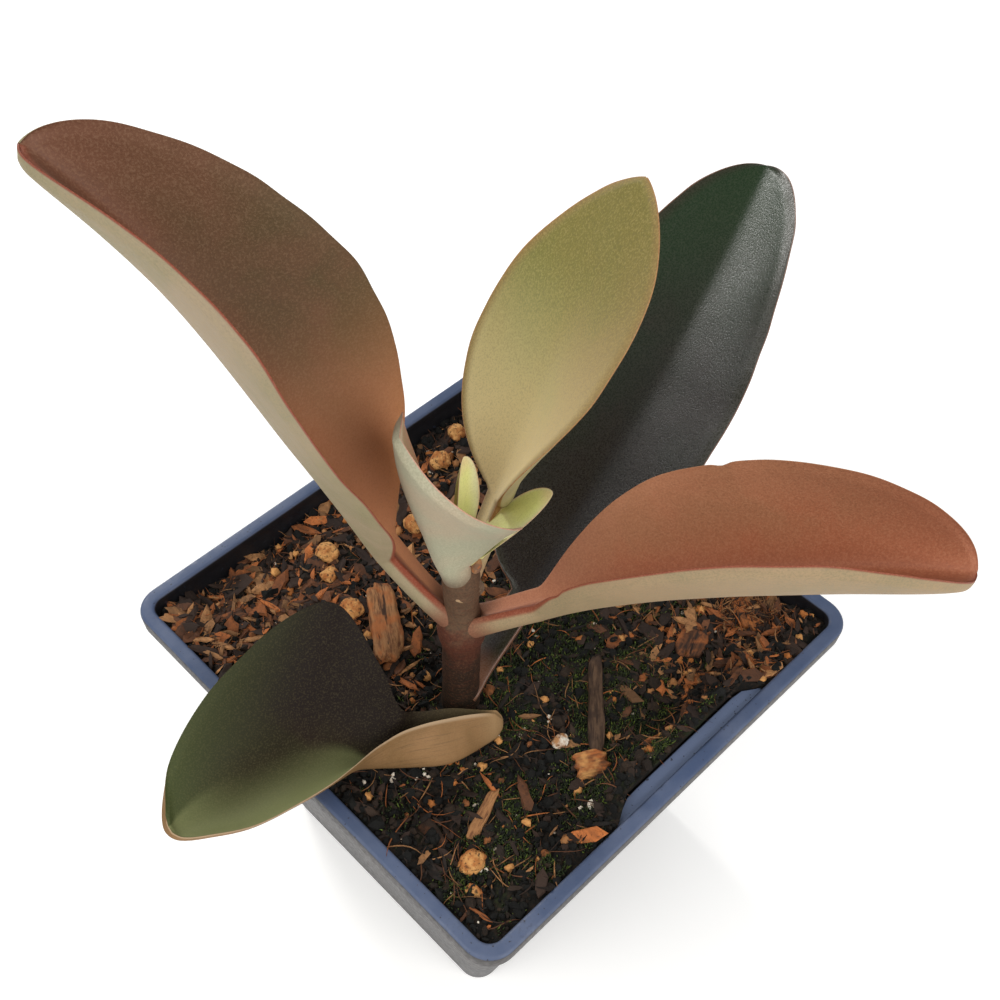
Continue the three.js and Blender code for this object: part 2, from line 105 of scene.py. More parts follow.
def noise(points, scale, seed=0):
    """Smooth noise from -1 to 1: lattice numbers at the corners of cells of side scale, blended
    with cubic weights along each of the three axes."""
    p = np.asarray(points, float) / scale
    cell = np.floor(p)
    w = p - cell
    w = w * w * (3 - 2 * w)
    total = np.zeros(p.shape[:-1])
    for dx in (0, 1):
        for dy in (0, 1):
            for dz in (0, 1):
                corner = np.array([dx, dy, dz])
                share = np.prod(np.where(corner == 1, w, 1 - w), axis=-1)
                total += share * lattice(cell + corner, seed)
    return 2 * total - 1


def fractal(points, scale, seed=0, octaves=3):
    """Noise summed over octaves, each half the size and half the height of the one before."""
    total = 0.0
    for k in range(octaves):
        total = total + noise(points, scale / 2**k, seed + 7 * k) / 2**k
    return total / (2 - 2 ** (1 - octaves))


def round_angles(count):
    """Angles of count even steps round a circle, from +X."""
    return np.linspace(0, 2 * np.pi, count, endpoint=False)


def soil_height(x, y):
    """Height of the soil: two slow waves about its level, as in the CAD model."""
    waves = np.sin(x / 9 + 1) * np.cos(y / 11) + 0.6 * np.sin((x + y) / 6)
    return SOIL_LEVEL + 0.36 * waves


# ---------------------------------------------------------------- meshes


def make_object(name, points, faces, material, attributes=None, uv=None, shade_smooth=True):
    """A mesh object from points in millimetres, with float or colour attributes on its points."""
    mesh = bpy.data.meshes.new(name)
    faces = np.asarray(faces)
    corners = faces.shape[1]
    mesh.vertices.add(len(points))
    mesh.vertices.foreach_set("co", (np.asarray(points) * MM).astype(np.float32).ravel())
    mesh.loops.add(faces.size)
    mesh.loops.foreach_set("vertex_index", faces.astype(np.int32).ravel())
    mesh.polygons.add(len(faces))
    mesh.polygons.foreach_set("loop_start", np.arange(0, faces.size, corners, dtype=np.int32))
    mesh.polygons.foreach_set("use_smooth", np.full(len(faces), shade_smooth))
    mesh.update(calc_edges=True)
    for key, values in (attributes or {}).items():
        values = np.asarray(values, np.float32)
        if values.ndim == 1:
            layer = mesh.attributes.new(key, "FLOAT", "POINT")
            layer.data.foreach_set("value", values)
        else:
            layer = mesh.attributes.new(key, "FLOAT_COLOR", "POINT")
            rgba = np.concatenate([values, np.ones((len(values), 1), np.float32)], axis=1)
            layer.data.foreach_set("color", rgba.ravel())
    if uv is not None:
        layer = mesh.uv_layers.new(name="UVMap")
        layer.data.foreach_set("uv", np.asarray(uv, np.float32)[faces.ravel()].ravel())
    mesh.materials.append(material)
    mesh.validate()
    made = bpy.data.objects.new(name, mesh)
    bpy.context.scene.collection.objects.link(made)
    return made


def finish_piece(piece, slot, *nodes):
    """Fixes a finished piece to the part, names its slot and the CAD nodes that it stands for."""
    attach(piece, "root")
    if nodes:
        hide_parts(*nodes)
    return piece


def tube_faces(rings, count, closed=True):
    """Triangle pairs between neighbouring rings of count points, ring after ring."""
    i, j = np.meshgrid(np.arange(rings - 1), np.arange(count if closed else count - 1), indexing="ij")
    a = (i * count + j).ravel()
    b = (i * count + (j + 1) % count).ravel()
    return np.concatenate(
        [np.stack([a, b, b + count], axis=1), np.stack([a, b + count, a + count], axis=1)]
    )


def capped(points, rings, count):
    """Faces of a tube of rings with a pole at each end: the first and last ring's mean points are
    added to points, and fans join them to their rings."""
    first, last = len(points), len(points) + 1
    poles = np.stack([points[:count].mean(axis=0), points[-count:].mean(axis=0)])
    ring = np.arange(count)
    after = (ring + 1) % count
    top = (rings - 1) * count
    faces = np.concatenate(
        [
            tube_faces(rings, count),
            np.stack([np.full(count, first), after, ring], axis=1),
            np.stack([np.full(count, last), top + ring, top + after], axis=1),
        ]
    )
    return np.concatenate([points, poles]), faces


# ---------------------------------------------------------------- shader nodes


def srgb(red, green, blue):
    """Linear colour from sRGB numbers out of 255."""
    c = np.array([red, green, blue]) / 255
    return tuple(np.where(c <= 0.04045, c / 12.92, ((c + 0.055) / 1.055) ** 2.4).tolist())


class Shader:
    """Short calls for adding and joining nodes in a material's or a group's tree."""

    def __init__(self, tree):
        self.tree = tree

    def add(self, kind, inputs=None, **settings):
        """A new node, its settings made and its inputs joined or set."""
        node = self.tree.nodes.new(kind)
        for key, value in settings.items():
            setattr(node, key, value)
        for key, value in (inputs or {}).items():
            self.set(node.inputs[key], value)
        return node

    def set(self, socket, value):
        """Joins a socket to another one, or gives it a number or colour."""
        if isinstance(value, bpy.types.NodeSocket):
            self.tree.links.new(value, socket)
        elif socket.type == "RGBA" and len(value) == 3:
            socket.default_value = (*value, 1)
        else:
            socket.default_value = value

    def math(self, operation, a, b=0.0, clamp=False):
        node = self.add("ShaderNodeMath", operation=operation, use_clamp=clamp)
        self.set(node.inputs[0], a)
        self.set(node.inputs[1], b)
        return node.outputs[0]

    def mix(self, share, a, b, blend="MIX"):
        node = self.add("ShaderNodeMix", data_type="RGBA", blend_type=blend)
        self.set(node.inputs["Factor"], share)
        self.set(node.inputs[6], a)
        self.set(node.inputs[7], b)
        return node.outputs[2]

    def span(self, value, low, high, to_low=0.0, to_high=1.0):
        """value carried smoothly from low..high to to_low..to_high, and held beyond."""
        node = self.add("ShaderNodeMapRange", interpolation_type="SMOOTHSTEP")
        for index, number in enumerate((value, low, high, to_low, to_high)):
            self.set(node.inputs[index], number)
        return node.outputs[0]

    def noise(self, vector, scale, detail=3.0, roughness=0.5, distortion=0.0):
        node = self.add("ShaderNodeTexNoise", {"Vector": vector, "Scale": scale, "Detail": detail})
        node.inputs["Roughness"].default_value = roughness
        node.inputs["Distortion"].default_value = distortion
        return node.outputs["Fac"]

    def attribute(self, name, output="Fac"):
        """A value that the mesh carries on its points."""
        return self.add("ShaderNodeAttribute", attribute_name=name).outputs[output]

    def here(self):
        """Object coordinates, in metres."""
        return self.add("ShaderNodeTexCoord").outputs["Object"]

    def stretched(self, vector, scale):
        """A vector scaled along each axis."""
        return self.add("ShaderNodeMapping", {"Vector": vector, "Scale": scale}).outputs[0]

    def bump(self, height, strength, distance, normal=None):
        node = self.add("ShaderNodeBump", {"Height": height})
        node.inputs["Strength"].default_value = strength
        node.inputs["Distance"].default_value = distance
        if normal is not None:
            self.set(node.inputs["Normal"], normal)
        return node.outputs[0]


def new_material(name, **constants):
    """A material with one Principled shader whose unlinked sockets hold the constants given."""
    material = bpy.data.materials.new(name)
    material.use_nodes = True
    shader = Shader(material.node_tree)
    principled = material.node_tree.nodes["Principled BSDF"]
    for key, value in constants.items():
        shader.set(principled.inputs[key.replace("_", " ")], value)
    return material, shader, principled


def new_group(name, inputs, outputs):
    """A node group with named sockets. Returns the group, its shader helper, and its two ends."""
    group = bpy.data.node_groups.new(name, "ShaderNodeTree")
    for label, kind in inputs:
        group.interface.new_socket(label, in_out="INPUT", socket_type=kind)
    for label, kind in outputs:
        group.interface.new_socket(label, in_out="OUTPUT", socket_type=kind)
    shader = Shader(group)
    return group, shader, shader.add("NodeGroupInput").outputs, shader.add("NodeGroupOutput").inputs


NUMBER = "NodeSocketFloat"
VECTOR = "NodeSocketVector"


def use_group(shader, group, **inputs):
    """Adds a node group and sets its inputs; underscores in their names stand for spaces."""
    node = shader.add("ShaderNodeGroup", node_tree=group)
    for key, value in inputs.items():
        shader.set(node.inputs[key.replace("_", " ")], value)
    return node.outputs


def grain_group():
    """Fine felt: pale and dark flecks a fraction of a millimetre across, and soft larger mottling."""
    name = "felt grain"
    if name in bpy.data.node_groups:
        return bpy.data.node_groups[name]
    group, s, given, result = new_group(
        name,
        [("Vector", VECTOR), ("Fleck Size", NUMBER), ("Mottle Size", NUMBER)],
        [("Fleck", NUMBER), ("Mottle", NUMBER), ("Height", NUMBER)],
    )
    fleck_scale = s.math("DIVIDE", 1.0, given["Fleck Size"])
    mottle_scale = s.math("DIVIDE", 1.0, given["Mottle Size"])
    fleck = s.noise(given["Vector"], fleck_scale, 2.0, 0.7)
    mottle = s.noise(given["Vector"], mottle_scale, 4.0, 0.55, 0.4)
    s.set(result["Fleck"], s.span(fleck, 0.3, 0.7))
    s.set(result["Mottle"], s.span(mottle, 0.35, 0.65))
    s.set(result["Height"], s.math("ADD", fleck, s.math("MULTIPLY", mottle, 0.6)))
    return group


JOINT_FULL = 4  # millimetres from the stem to which the joint's colour is full
JOINT_END = 11  # and at which it has faded out


def leaf_material(name, look):
    """A felted leaf: its upper face goes from a base colour to a blade colour, mottled with a second
    one, then to a margin colour near the edge; its underside is a paler felt."""
    material, s, out = new_material(name, Roughness=look.roughness, IOR=1.42)
    out.inputs["Sheen Weight"].default_value = look.sheen
    out.inputs["Specular IOR Level"].default_value = look.specular
    out.inputs["Sheen Roughness"].default_value = 0.4
    s.set(out.inputs["Sheen Tint"], look.sheen_tint)
    here = s.here()
    grain = use_group(s, grain_group(), Vector=here, Fleck_Size=0.0003, Mottle_Size=0.014)
    along, across = s.attribute("along"), s.attribute("across")
    edge, upper = s.attribute("edge"), s.attribute("upper")
    lengthwise, crosswise = s.math("MULTIPLY", along, 5), s.math("MULTIPLY", across, 26)
    strand = s.add("ShaderNodeCombineXYZ", {"X": lengthwise, "Y": crosswise})
    strands = s.noise(strand.outputs[0], 1.6, 3, 0.6)
    blade = s.mix(s.math("MULTIPLY", grain["Mottle"], 0.85), look.blade, look.mottle)
    # lit: the place across the blade that sets the far side's colour. That colour is the leaf's own change of
    # tone; on the left leaf it is also painted light that lifts the shade of its fold inside the near margin.
    lit = s.math("ADD", across, s.math("MULTIPLY", s.math("SUBTRACT", grain["Mottle"], 0.5), 0.25))
    blade = s.mix(s.span(lit, look.side_from, look.side_to), blade, look.side)
    blade = s.mix(s.span(along, look.tip_from, 1.0), blade, look.tip)
    # Base colour near the petiole: the leaf's own tone there. On the left leaf it is painted light that lifts
    # the shade inside its cupped base.
    blade = s.mix(s.span(along, look.base_to, 0.0), blade, look.base)
    to_side = s.math("MULTIPLY", across, look.margin_side)
    sided = s.span(to_side, -0.1, 0.1, 1 - abs(look.margin_side), 1)
    blade = s.mix(s.math("MULTIPLY", sided, s.span(edge, look.margin_width, 0.0)), blade, look.margin)
    under = s.mix(grain["Mottle"], look.under, look.under_mottle)
    under = s.mix(s.span(strands, 0.5, 0.7, 0, look.striae), under, (0.08, 0.05, 0.03))
    face = s.mix(s.span(upper, 0.35, 0.65), under, blade)
    at_rim = s.span(edge, look.rim_width, 0.3 * look.rim_width)
    face = s.mix(s.math("MULTIPLY", sided, at_rim), face, look.rim)
    face = s.mix(s.span(s.attribute("stalk"), JOINT_END, JOINT_FULL), face, look.joint)
    flecked = s.mix(s.span(grain["Fleck"], 0.45, 1.0, 0.0, look.fleck), face, look.fleck_colour)
    shaded = s.mix(s.span(grain["Fleck"], 0.5, 0.0, 0.0, look.fleck), flecked, (0.02, 0.02, 0.02))
    s.set(out.inputs["Base Color"], shaded)
    low, high = look.roughness - 0.07, look.roughness + 0.1
    s.set(out.inputs["Roughness"], s.span(grain["Fleck"], 0, 1, low, high))
    felt = s.bump(grain["Height"], 0.3, 0.00015)
    dimples = s.noise(here, 650, 3, 0.6)
    s.set(out.inputs["Normal"], s.bump(dimples, look.dimples, 0.0006, felt))
    return material


# ---------------------------------------------------------------- leaves

# Each leaf is a blade on a petiole. heading, climb and roll hold at the stem and at the tip; arch and
# twist add to climb and roll half way. fold is how far each half rises from flat, from the stem end to
# the tip end, changing between fold_from and fold_to; cup curls the margins up further. lean makes
# the left half wider than the right by that share.
LEAVES = {
    "leaf_left": dict(
        z=108.5, heading=121, sweep=16, climb=(46.5, 43), arch=22, petiole=21, blade=74,
        petiole_half=3.2, half=20, base_shape=0.6, tip_shape=0.65, fold=(44.5, 67),
        fold_from=0.5, fold_to=0.95, cup=15.5, roll=(32.5, -23), twist=-10, lean=0.05,
        thickness=(3.4, 1.7, 0.9), slot="leaf_copper", ease=0.12,
    ),
    "leaf_right": dict(
        z=107.5, heading=-57.5, sweep=0, climb=(43, 10.5), arch=2.5, petiole=17, blade=63,
        petiole_half=3.1, half=18.25, base_shape=1.0, tip_shape=0.65, fold=(51, 66.5),
        fold_from=0, fold_to=1, cup=29, roll=(-23, 21), twist=7, lean=0,
        thickness=(3.4, 1.7, 0.9), slot="leaf_copper",
    ),
    "leaf_back_olive": dict(
        z=118, heading=7, sweep=-6, climb=(60, 52), arch=3, petiole=17.5, blade=47.5,
        petiole_half=2.9, half=17.75, base_shape=0.65, tip_shape=0.75, fold=(37.5, -4.5),
        fold_from=0, fold_to=1, cup=10, roll=(-44, -22.5), twist=-2, lean=0,
        thickness=(2.8, 1.5, 0.9), slot="leaf_olive",
    ),
    "leaf_back_dark": dict(
        z=86.5, heading=6, sweep=10.5, climb=(25, 31.5), arch=1, petiole=22, blade=88.5,
        petiole_half=3, half=17.75, base_shape=0.45, tip_shape=0.5, fold=(11.5, 19),
        fold_from=0, fold_to=1, cup=12.5, roll=(1.5, -13), twist=-0.5, lean=0,
        thickness=(3.2, 1.8, 0.9), slot="leaf_dark",
    ),
    "leaf_front_cupped": dict(
        z=118, heading=185.5, sweep=-19, climb=(76, 86.5), arch=-8.5, petiole=11, blade=32.5,
        petiole_half=3, half=12, base_shape=0.65, tip_shape=0.7, fold=(52.5, 9.5),
        fold_from=0.05, fold_to=1.05, cup=22.5, roll=(15, -19), twist=9.5, lean=0,
        thickness=(2.6, 1.3, 0.9), slot="leaf_young",
    ),
    "bud_leaf_left": dict(
        shift=(-0.8, 0.8), z=127.5, heading=100.5, sweep=-2, climb=(96, 88.5), arch=2,
        petiole=2, blade=20.5, petiole_half=1.2, half=2.25, base_shape=0.45, tip_shape=0.5,
        fold=(26.5, 20), fold_from=0, fold_to=1, cup=21, roll=(1, -2), twist=1.5, lean=0,
        thickness=(1.5, 1.3, 0.8), slot="leaf_bud",
    ),
    "bud_leaf_right": dict(
        shift=(0.8, -0.8), z=127.5, heading=-39.5, sweep=-3.5, climb=(49.5, 46.5), arch=2.5,
        petiole=2, blade=16, petiole_half=1.2, half=3, base_shape=0.6, tip_shape=0.6,
        fold=(10, 8), fold_from=0, fold_to=1, cup=8, roll=(-2.5, -5), twist=-2.5, lean=0,
        thickness=(1.5, 1.3, 0.8), slot="leaf_bud",
    ),
}
KEEL = 1.3  # millimetres from the midrib at which a blade has turned up by half its fold
UPPER_SHARE = 0.3  # of the thickness, above the surface that the sizes describe
LEAF_LENGTH = 80  # millimetres, for the spoon leaf and for placing nicks
RIPPLE_LENGTH = 16.0  # size of the blades' ripples, in millimetres
EDGE_ROUND = (-0.6, 2.6)  # millimetres from a margin over which a blade gains its thickness

# Small nicks in the margins: place along the blade, side (1 left, -1 right), depth and span in
# millimetres.
LEAF_NICKS = {"leaf_right": ((0.53, 1, 0.7, 1.2), (0.12, -1, 0.6, 1.5))}

# The spoon leaf: its far margin, midrib and near margin at stations from the stem end to the tip.
SPOON = np.array(
    [
        [[-13.5, -17, 87.5], [-15.5, -19, 85.3], [-14.7, -17.9, 88.4]],
        [[-16, -15, 88], [-19.5, -18.5, 85], [-17.5, -16, 90]],
        [[-21, -11, 89.5], [-27, -17, 85.5], [-24, -13, 92]],
        [[-26.5, -7.5, 91], [-33, -13, 86.5], [-30.5, -10.5, 93.5]],
        [[-29, -6, 94], [-38, -9, 88.5], [-36, -10, 94.5]],
        [[-27.5, 0.5, 99], [-41, -3.5, 90], [-43.5, -10, 95]],
        [[-26.5, 12, 104], [-48, 2, 91], [-53.5, -9, 95]],
        [[-34.5, 15.5, 105], [-57, 5, 91], [-62, -6.5, 94]],
        [[-51.5, 15.5, 102], [-65, 6, 91], [-68.5, -2, 93]],
        [[-65, 12, 97], [-70.5, 5.5, 91], [-71.5, 1, 92]],
        [[-71.5, 6, 93], [-72.5, 4.5, 92], [-72.5, 3, 92]],
    ],
    float,
)


def turned(vectors, axes, angles):
    """Each vector turned about its unit axis by its angle: v cos a + (k x v) sin a + k (k.v)(1 - cos a)."""
    c, s = np.cos(angles)[:, None], np.sin(angles)[:, None]
    dot = (axes * vectors).sum(axis=1, keepdims=True)
    return vectors * c + np.cross(axes, vectors) * s + axes * dot * (1 - c)


def walk_midrib(leaf, t):
    """The midrib at the shares t of its length, and the unit vectors left of it and up out of the
    blade: heading and climb change steadily along it, and the steps are summed by trapezoids."""
    length = leaf["petiole"] + leaf["blade"]
    hump = 4 * t * (1 - t)
    heading = np.radians(leaf["heading"] + leaf["sweep"] * t)
    climb = np.radians(lerp(*leaf["climb"], t) + leaf["arch"] * hump)
    roll = np.radians(lerp(*leaf["roll"], t) + leaf["twist"] * hump)
    along = np.stack(
        [np.cos(heading) * np.cos(climb), np.sin(heading) * np.cos(climb), np.sin(climb)], axis=1
    )
    left = np.stack([-np.sin(heading), np.cos(heading), np.zeros_like(t)], axis=1)
    up = np.cross(along, left)
    steps = (along[1:] + along[:-1]) / 2 * (np.diff(t) * length)[:, None]
    dx, dy = leaf.get("shift", (0, 0))
    start = np.array([[STEM_X + dx, STEM_Y + dy, leaf["z"]]])
    points = start + np.concatenate([np.zeros((1, 3)), np.cumsum(steps, axis=0)])
    return points, turned(left, along, roll), turned(up, along, roll)


def blade_surface(leaf, t, v):
    """The blade's middle surface at every share t of its length and v of its half width (-1 the right
    margin, 1 the left). Half width is q^a (1 - q)^b scaled to 1, on the petiole's own; the section
    leaves the midrib flat and turns up by fold and cup, which is summed outward in short steps."""
    centre, left, up = walk_midrib(leaf, t)
    length = leaf["petiole"] + leaf["blade"]
    q = np.clip((t * length - leaf["petiole"]) / leaf["blade"], 0, 1)
    a, b = leaf["base_shape"], leaf["tip_shape"]
    widest = a / (a + b)
    gentle = q**2 / (q + leaf.get("ease", 0.02))
    shape = (gentle**a * (1 - q) ** b) / (widest**a * (1 - widest) ** b)
    side = np.sign(v)[None, :]
    flare = 0.9 * np.exp(-((t * length / 4.5) ** 2))
    width = (leaf["petiole_half"] * np.sqrt(1 - q) + flare)[:, None]
    width = width + leaf["half"] * shape[:, None] * (1 + leaf["lean"] * side)
    fold = np.radians(lerp(*leaf["fold"], smooth(t, leaf["fold_from"], leaf["fold_to"])))
    share = np.abs(v)
    steps = 16
    k = share[None, :, None] * ((np.arange(steps) + 0.5) / steps)[None, None, :]
    reach = k * width[:, :, None]
    turn = fold[:, None, None] * reach / (reach + KEEL) + math.radians(leaf["cup"]) * k
    across = (np.cos(turn).mean(axis=2) * share)[..., None]
    rise = (np.sin(turn).mean(axis=2) * share)[..., None]
    wide = width[..., None]
    sideways = left[:, None] * side[..., None] * across * wide
    points = centre[:, None] + sideways + up[:, None] * rise * wide
    return points, width, q, t * length


def spoon_surface(u, v):
    """The spoon leaf's middle surface: each rail is a smooth curve through its points, and the three
    are joined by half an ellipse where the leaf is folded and by a parabola where it lies open."""
    far, keel, near = (catmull_rom(SPOON[:, k], u)[:, None] for k in range(3))
    opened = smooth(u, 0.35, 0.65)[:, None]
    across = lerp(np.sin(v * np.pi / 2)[None, :], v[None, :], opened)[..., None]
    depth = lerp(np.cos(v * np.pi / 2)[None, :], (1 - v * v)[None, :], opened)[..., None]
    points = far * (1 - across - depth) / 2 + keel * depth + near * (1 + across - depth) / 2
    middle = points.mean(axis=1, keepdims=True)
    points = middle + (points - middle) * np.sqrt(np.clip(u / 0.05, 0.0, 1))[:, None, None]
    girth = np.linalg.norm(np.diff(points, axis=1), axis=2).sum(axis=1)
    return points, np.repeat(girth[:, None] / 2, len(v), axis=1), u, u * LEAF_LENGTH


def catmull_rom(points, u):
    """The curve through points whose slope at each is half the step between its neighbours."""
    count = len(points) - 1
    padded = np.concatenate([[2 * points[0] - points[1]], points, [2 * points[-1] - points[-2]]])
    place = np.clip(u, 0, 1) * count
    i = np.minimum(place.astype(int), count - 1)
    s = (place - i)[:, None]
    p0, p1, p2, p3 = (padded[i + k] for k in range(4))
    a = 2 * p1
    b = (p2 - p0) * s
    c = (2 * p0 - 5 * p1 + 4 * p2 - p3) * s**2
    d = (-p0 + 3 * p1 - 3 * p2 + p3) * s**3
    return 0.5 * (a + b + c + d)


def surface_normals(points):
    """Unit normals of a grid of points: the cross product of its steps along and across."""
    along = np.gradient(points, axis=0)
    across = np.gradient(points, axis=1)
    normal = np.cross(along, across)
    size = np.linalg.norm(normal, axis=2, keepdims=True)
    return normal / np.maximum(size, 1e-9)


def build_leaf(surface, thickness_at, seed, rows, columns, wave, nicks=()):
    """A leaf as a closed body. The middle surface ripples a little, more towards its margins, and
    its two faces lie a thickness apart that shrinks to nothing in a round edge at each margin."""
    s = np.linspace(0, 1, rows)
    u = lerp(0.0006, 0.9997, 1 - (1 - s) ** 1.7)
    v = np.cos(np.linspace(0, np.pi, columns))  # from the left margin to the right, close at both
    points, width, q, stalk = surface(u, v)
    normal = -surface_normals(points)
    ripple = wave * (0.35 + v[None, :] ** 4) * fractal(points, RIPPLE_LENGTH, seed, 2)
    ripple = ripple * smooth(q, 0.0, 0.3)[:, None]
    points = points + normal * ripple[..., None]
    margin = np.abs(v)[None, :] ** 12 * 0.22 * noise(points, 5.0, seed + 3)
    outward = np.sign(v)[None, :, None] * np.gradient(points, axis=1)
    outward = -outward / np.maximum(np.linalg.norm(outward, axis=2, keepdims=True), 1e-9)
    margin = margin * smooth(q, 0.05, 0.3)[:, None] * np.minimum(width / 6, 1)
    points = points + outward * margin[..., None]
    edge = width * (1 - np.abs(v))[None, :]
    for where, side, depth, span in nicks:
        bite = depth * np.exp(-(((q - where) * LEAF_LENGTH / span) ** 2))[:, None]
        bite = bite * (np.sign(v) == side)[None, :]
        points = points - outward * (bite * np.abs(v)[None, :] ** 10)[..., None]
    normal = -surface_normals(points)
    thick = thickness_at(q, v)
    sharp = lerp(1.0, smooth(edge, *EDGE_ROUND), smooth(q, 0.0, 0.15)[:, None])
    thick = thick * np.minimum(1, width / 2.5) * sharp
    radius = np.maximum(thick * 0.55, 1e-3)
    close = np.clip(1 - edge / radius, 0, 1)
    thick = thick * np.sqrt(np.maximum(1 - close**2, 0))
    top = points + normal * (UPPER_SHARE * thick)[..., None]
    low = points - normal * ((1 - UPPER_SHARE) * thick)[..., None]
    ring = np.concatenate([top, low[:, -2:0:-1]], axis=1)
    count = ring.shape[1]

    def around(grid_top, grid_low):
        """A value for each point of the rings, from those of the two faces."""
        return np.concatenate([grid_top, grid_low[:, -2:0:-1]], axis=1).ravel()

    ones = np.ones_like(edge)
    flat, faces = capped(ring.reshape(-1, 3), rows, count)
    values = {
        "along": around(q[:, None] * ones, q[:, None] * ones),
        "across": around(v[None, :] * ones, v[None, :] * ones),
        "edge": around(edge, edge),
        "upper": around(ones, 0 * ones),
        "stalk": around(stalk[:, None] * ones, stalk[:, None] * ones),
    }
    for key, field in values.items():
        values[key] = np.append(field, [field[0], field[-1]])
    sheet = values["across"] * 0.25 + 0.25 + 0.5 * (1 - values["upper"])
    uv = np.stack([values["along"], sheet], axis=1)
    return flat, faces, values, uv


def leaf_thickness(leaf, q, v):
    """A stout petiole that thins into the blade, and thinner margins: m + (k - m)(1 - v^2)."""
    petiole, blade, margin = leaf["thickness"]
    midrib = blade + (petiole - blade) * np.exp(-6 * q)[:, None]
    return margin + (midrib - margin) * (1 - v * v)[None, :]


def spoon_thickness(q, v):
    """Thin where the leaf is folded, full where it lies open."""
    share = lerp(0.45, 1.0, smooth(q, 0.35, 0.65))[:, None]
    return share * (0.9 + 0.8 * (1 - v * v))[None, :]


# ---------------------------------------------------------------- stem

# Height and radius in millimetres, from inside the soil up.
STEM_PROFILE = np.array(
    [
        [64, 1.6], [72, 3.0], [82, 3.7], [86, 3.5], [92, 3.35], [99, 3.35], [103, 3.5], [107, 4.0],
        [109.5, 3.9], [112, 3.2], [115, 2.8], [118, 2.9], [121, 2.95], [125, 2.7], [129, 1.7],
    ]
)


def build_stem(material):
    """A stem of revolution about its upright axis, with shallow dents, wrinkles across it and a rough
    ring of old leaf scars at each node."""
    rows, count = 150, 64
    z = np.linspace(STEM_LOW, STEM_TOP, rows)
    stations = np.linspace(0, 1, len(STEM_PROFILE))
    radius = catmull_rom(STEM_PROFILE, np.interp(z, STEM_PROFILE[:, 0], stations))[:, 1]
    angle = round_angles(count)
    round_about = np.stack([np.cos(angle), np.sin(angle)], axis=1)
    grid = np.concatenate(
        [
            round_about[None] * radius[:, None, None] * np.ones((rows, count, 2)),
            np.broadcast_to(z[:, None, None], (rows, count, 1)),
        ],
        axis=2,
    )
    wrinkles = fractal(grid * [1, 1, 3.2], 2.2, 11, 3)
    dents = noise(grid, 6.0, 12)
    near_node = sum(np.exp(-(((z - node) / 2.2) ** 2)) for node in (107.0, 118.5))[:, None]
    out = 0.05 + (0.12 * dents + (0.07 + 0.2 * near_node) * wrinkles)
    grid[..., :2] += round_about[None] * out[..., None]
    lean = 0.25 * np.sin((z - STEM_LOW) / 16)
    grid[..., 0] += STEM_X + lean[:, None]
    grid[..., 1] += STEM_Y
    points, faces = capped(grid.reshape(-1, 3), rows, count)
    return make_object("stem_bark", points, faces, material)


def build_axil_bud(material):
    """The small bud in the crook of the young leaf's petiole: an egg of revolution, a little bent."""
    rows, count = 24, 20
    t = np.linspace(0.02, 0.98, rows)
    angle = round_angles(count)
    radius = 1.05 * np.sqrt(np.sin(np.pi * t**0.8))
    grid = np.stack(
        [
            radius[:, None] * np.cos(angle),
            radius[:, None] * np.sin(angle),
            np.repeat((3.4 * t)[:, None], count, axis=1),
        ],
        axis=2,
    )
    grid[..., 0] += 0.35 * (grid[..., 2] / 3.4) ** 2
    grid += [STEM_X + 0.6, STEM_Y - 2.3, 125.0]
    points, faces = capped(grid.reshape(-1, 3), rows, count)
    return make_object("axil_bud", points, faces, material)


# ---------------------------------------------------------------- pot


def rounded_square(half, radius, corner_steps=14, side_steps=36):
    """Points anticlockwise round a square with round corners: a quarter arc and a side, four times."""
    reach = half - radius
    angle = np.linspace(0, np.pi / 2, corner_steps + 1)
    arc = np.stack([reach + radius * np.cos(angle), reach + radius * np.sin(angle)], axis=1)
    across = np.linspace(reach, -reach, side_steps + 1)[1:-1]
    quarter = np.concatenate([arc, np.stack([across, np.full(side_steps - 1, half)], axis=1)])
    quarter_turn = np.array([[0, 1], [-1, 0]])
    sides = [quarter]
    for _ in range(3):
        sides.append(sides[-1] @ quarter_turn)
    return np.concatenate(sides)


def ledge_share(x):
    """How much of the moulded ledge inside the pot's -Y side there is at x: it fades at both ends."""
    return smooth(x, -17, -9) * (1 - smooth(x, 21, 27))


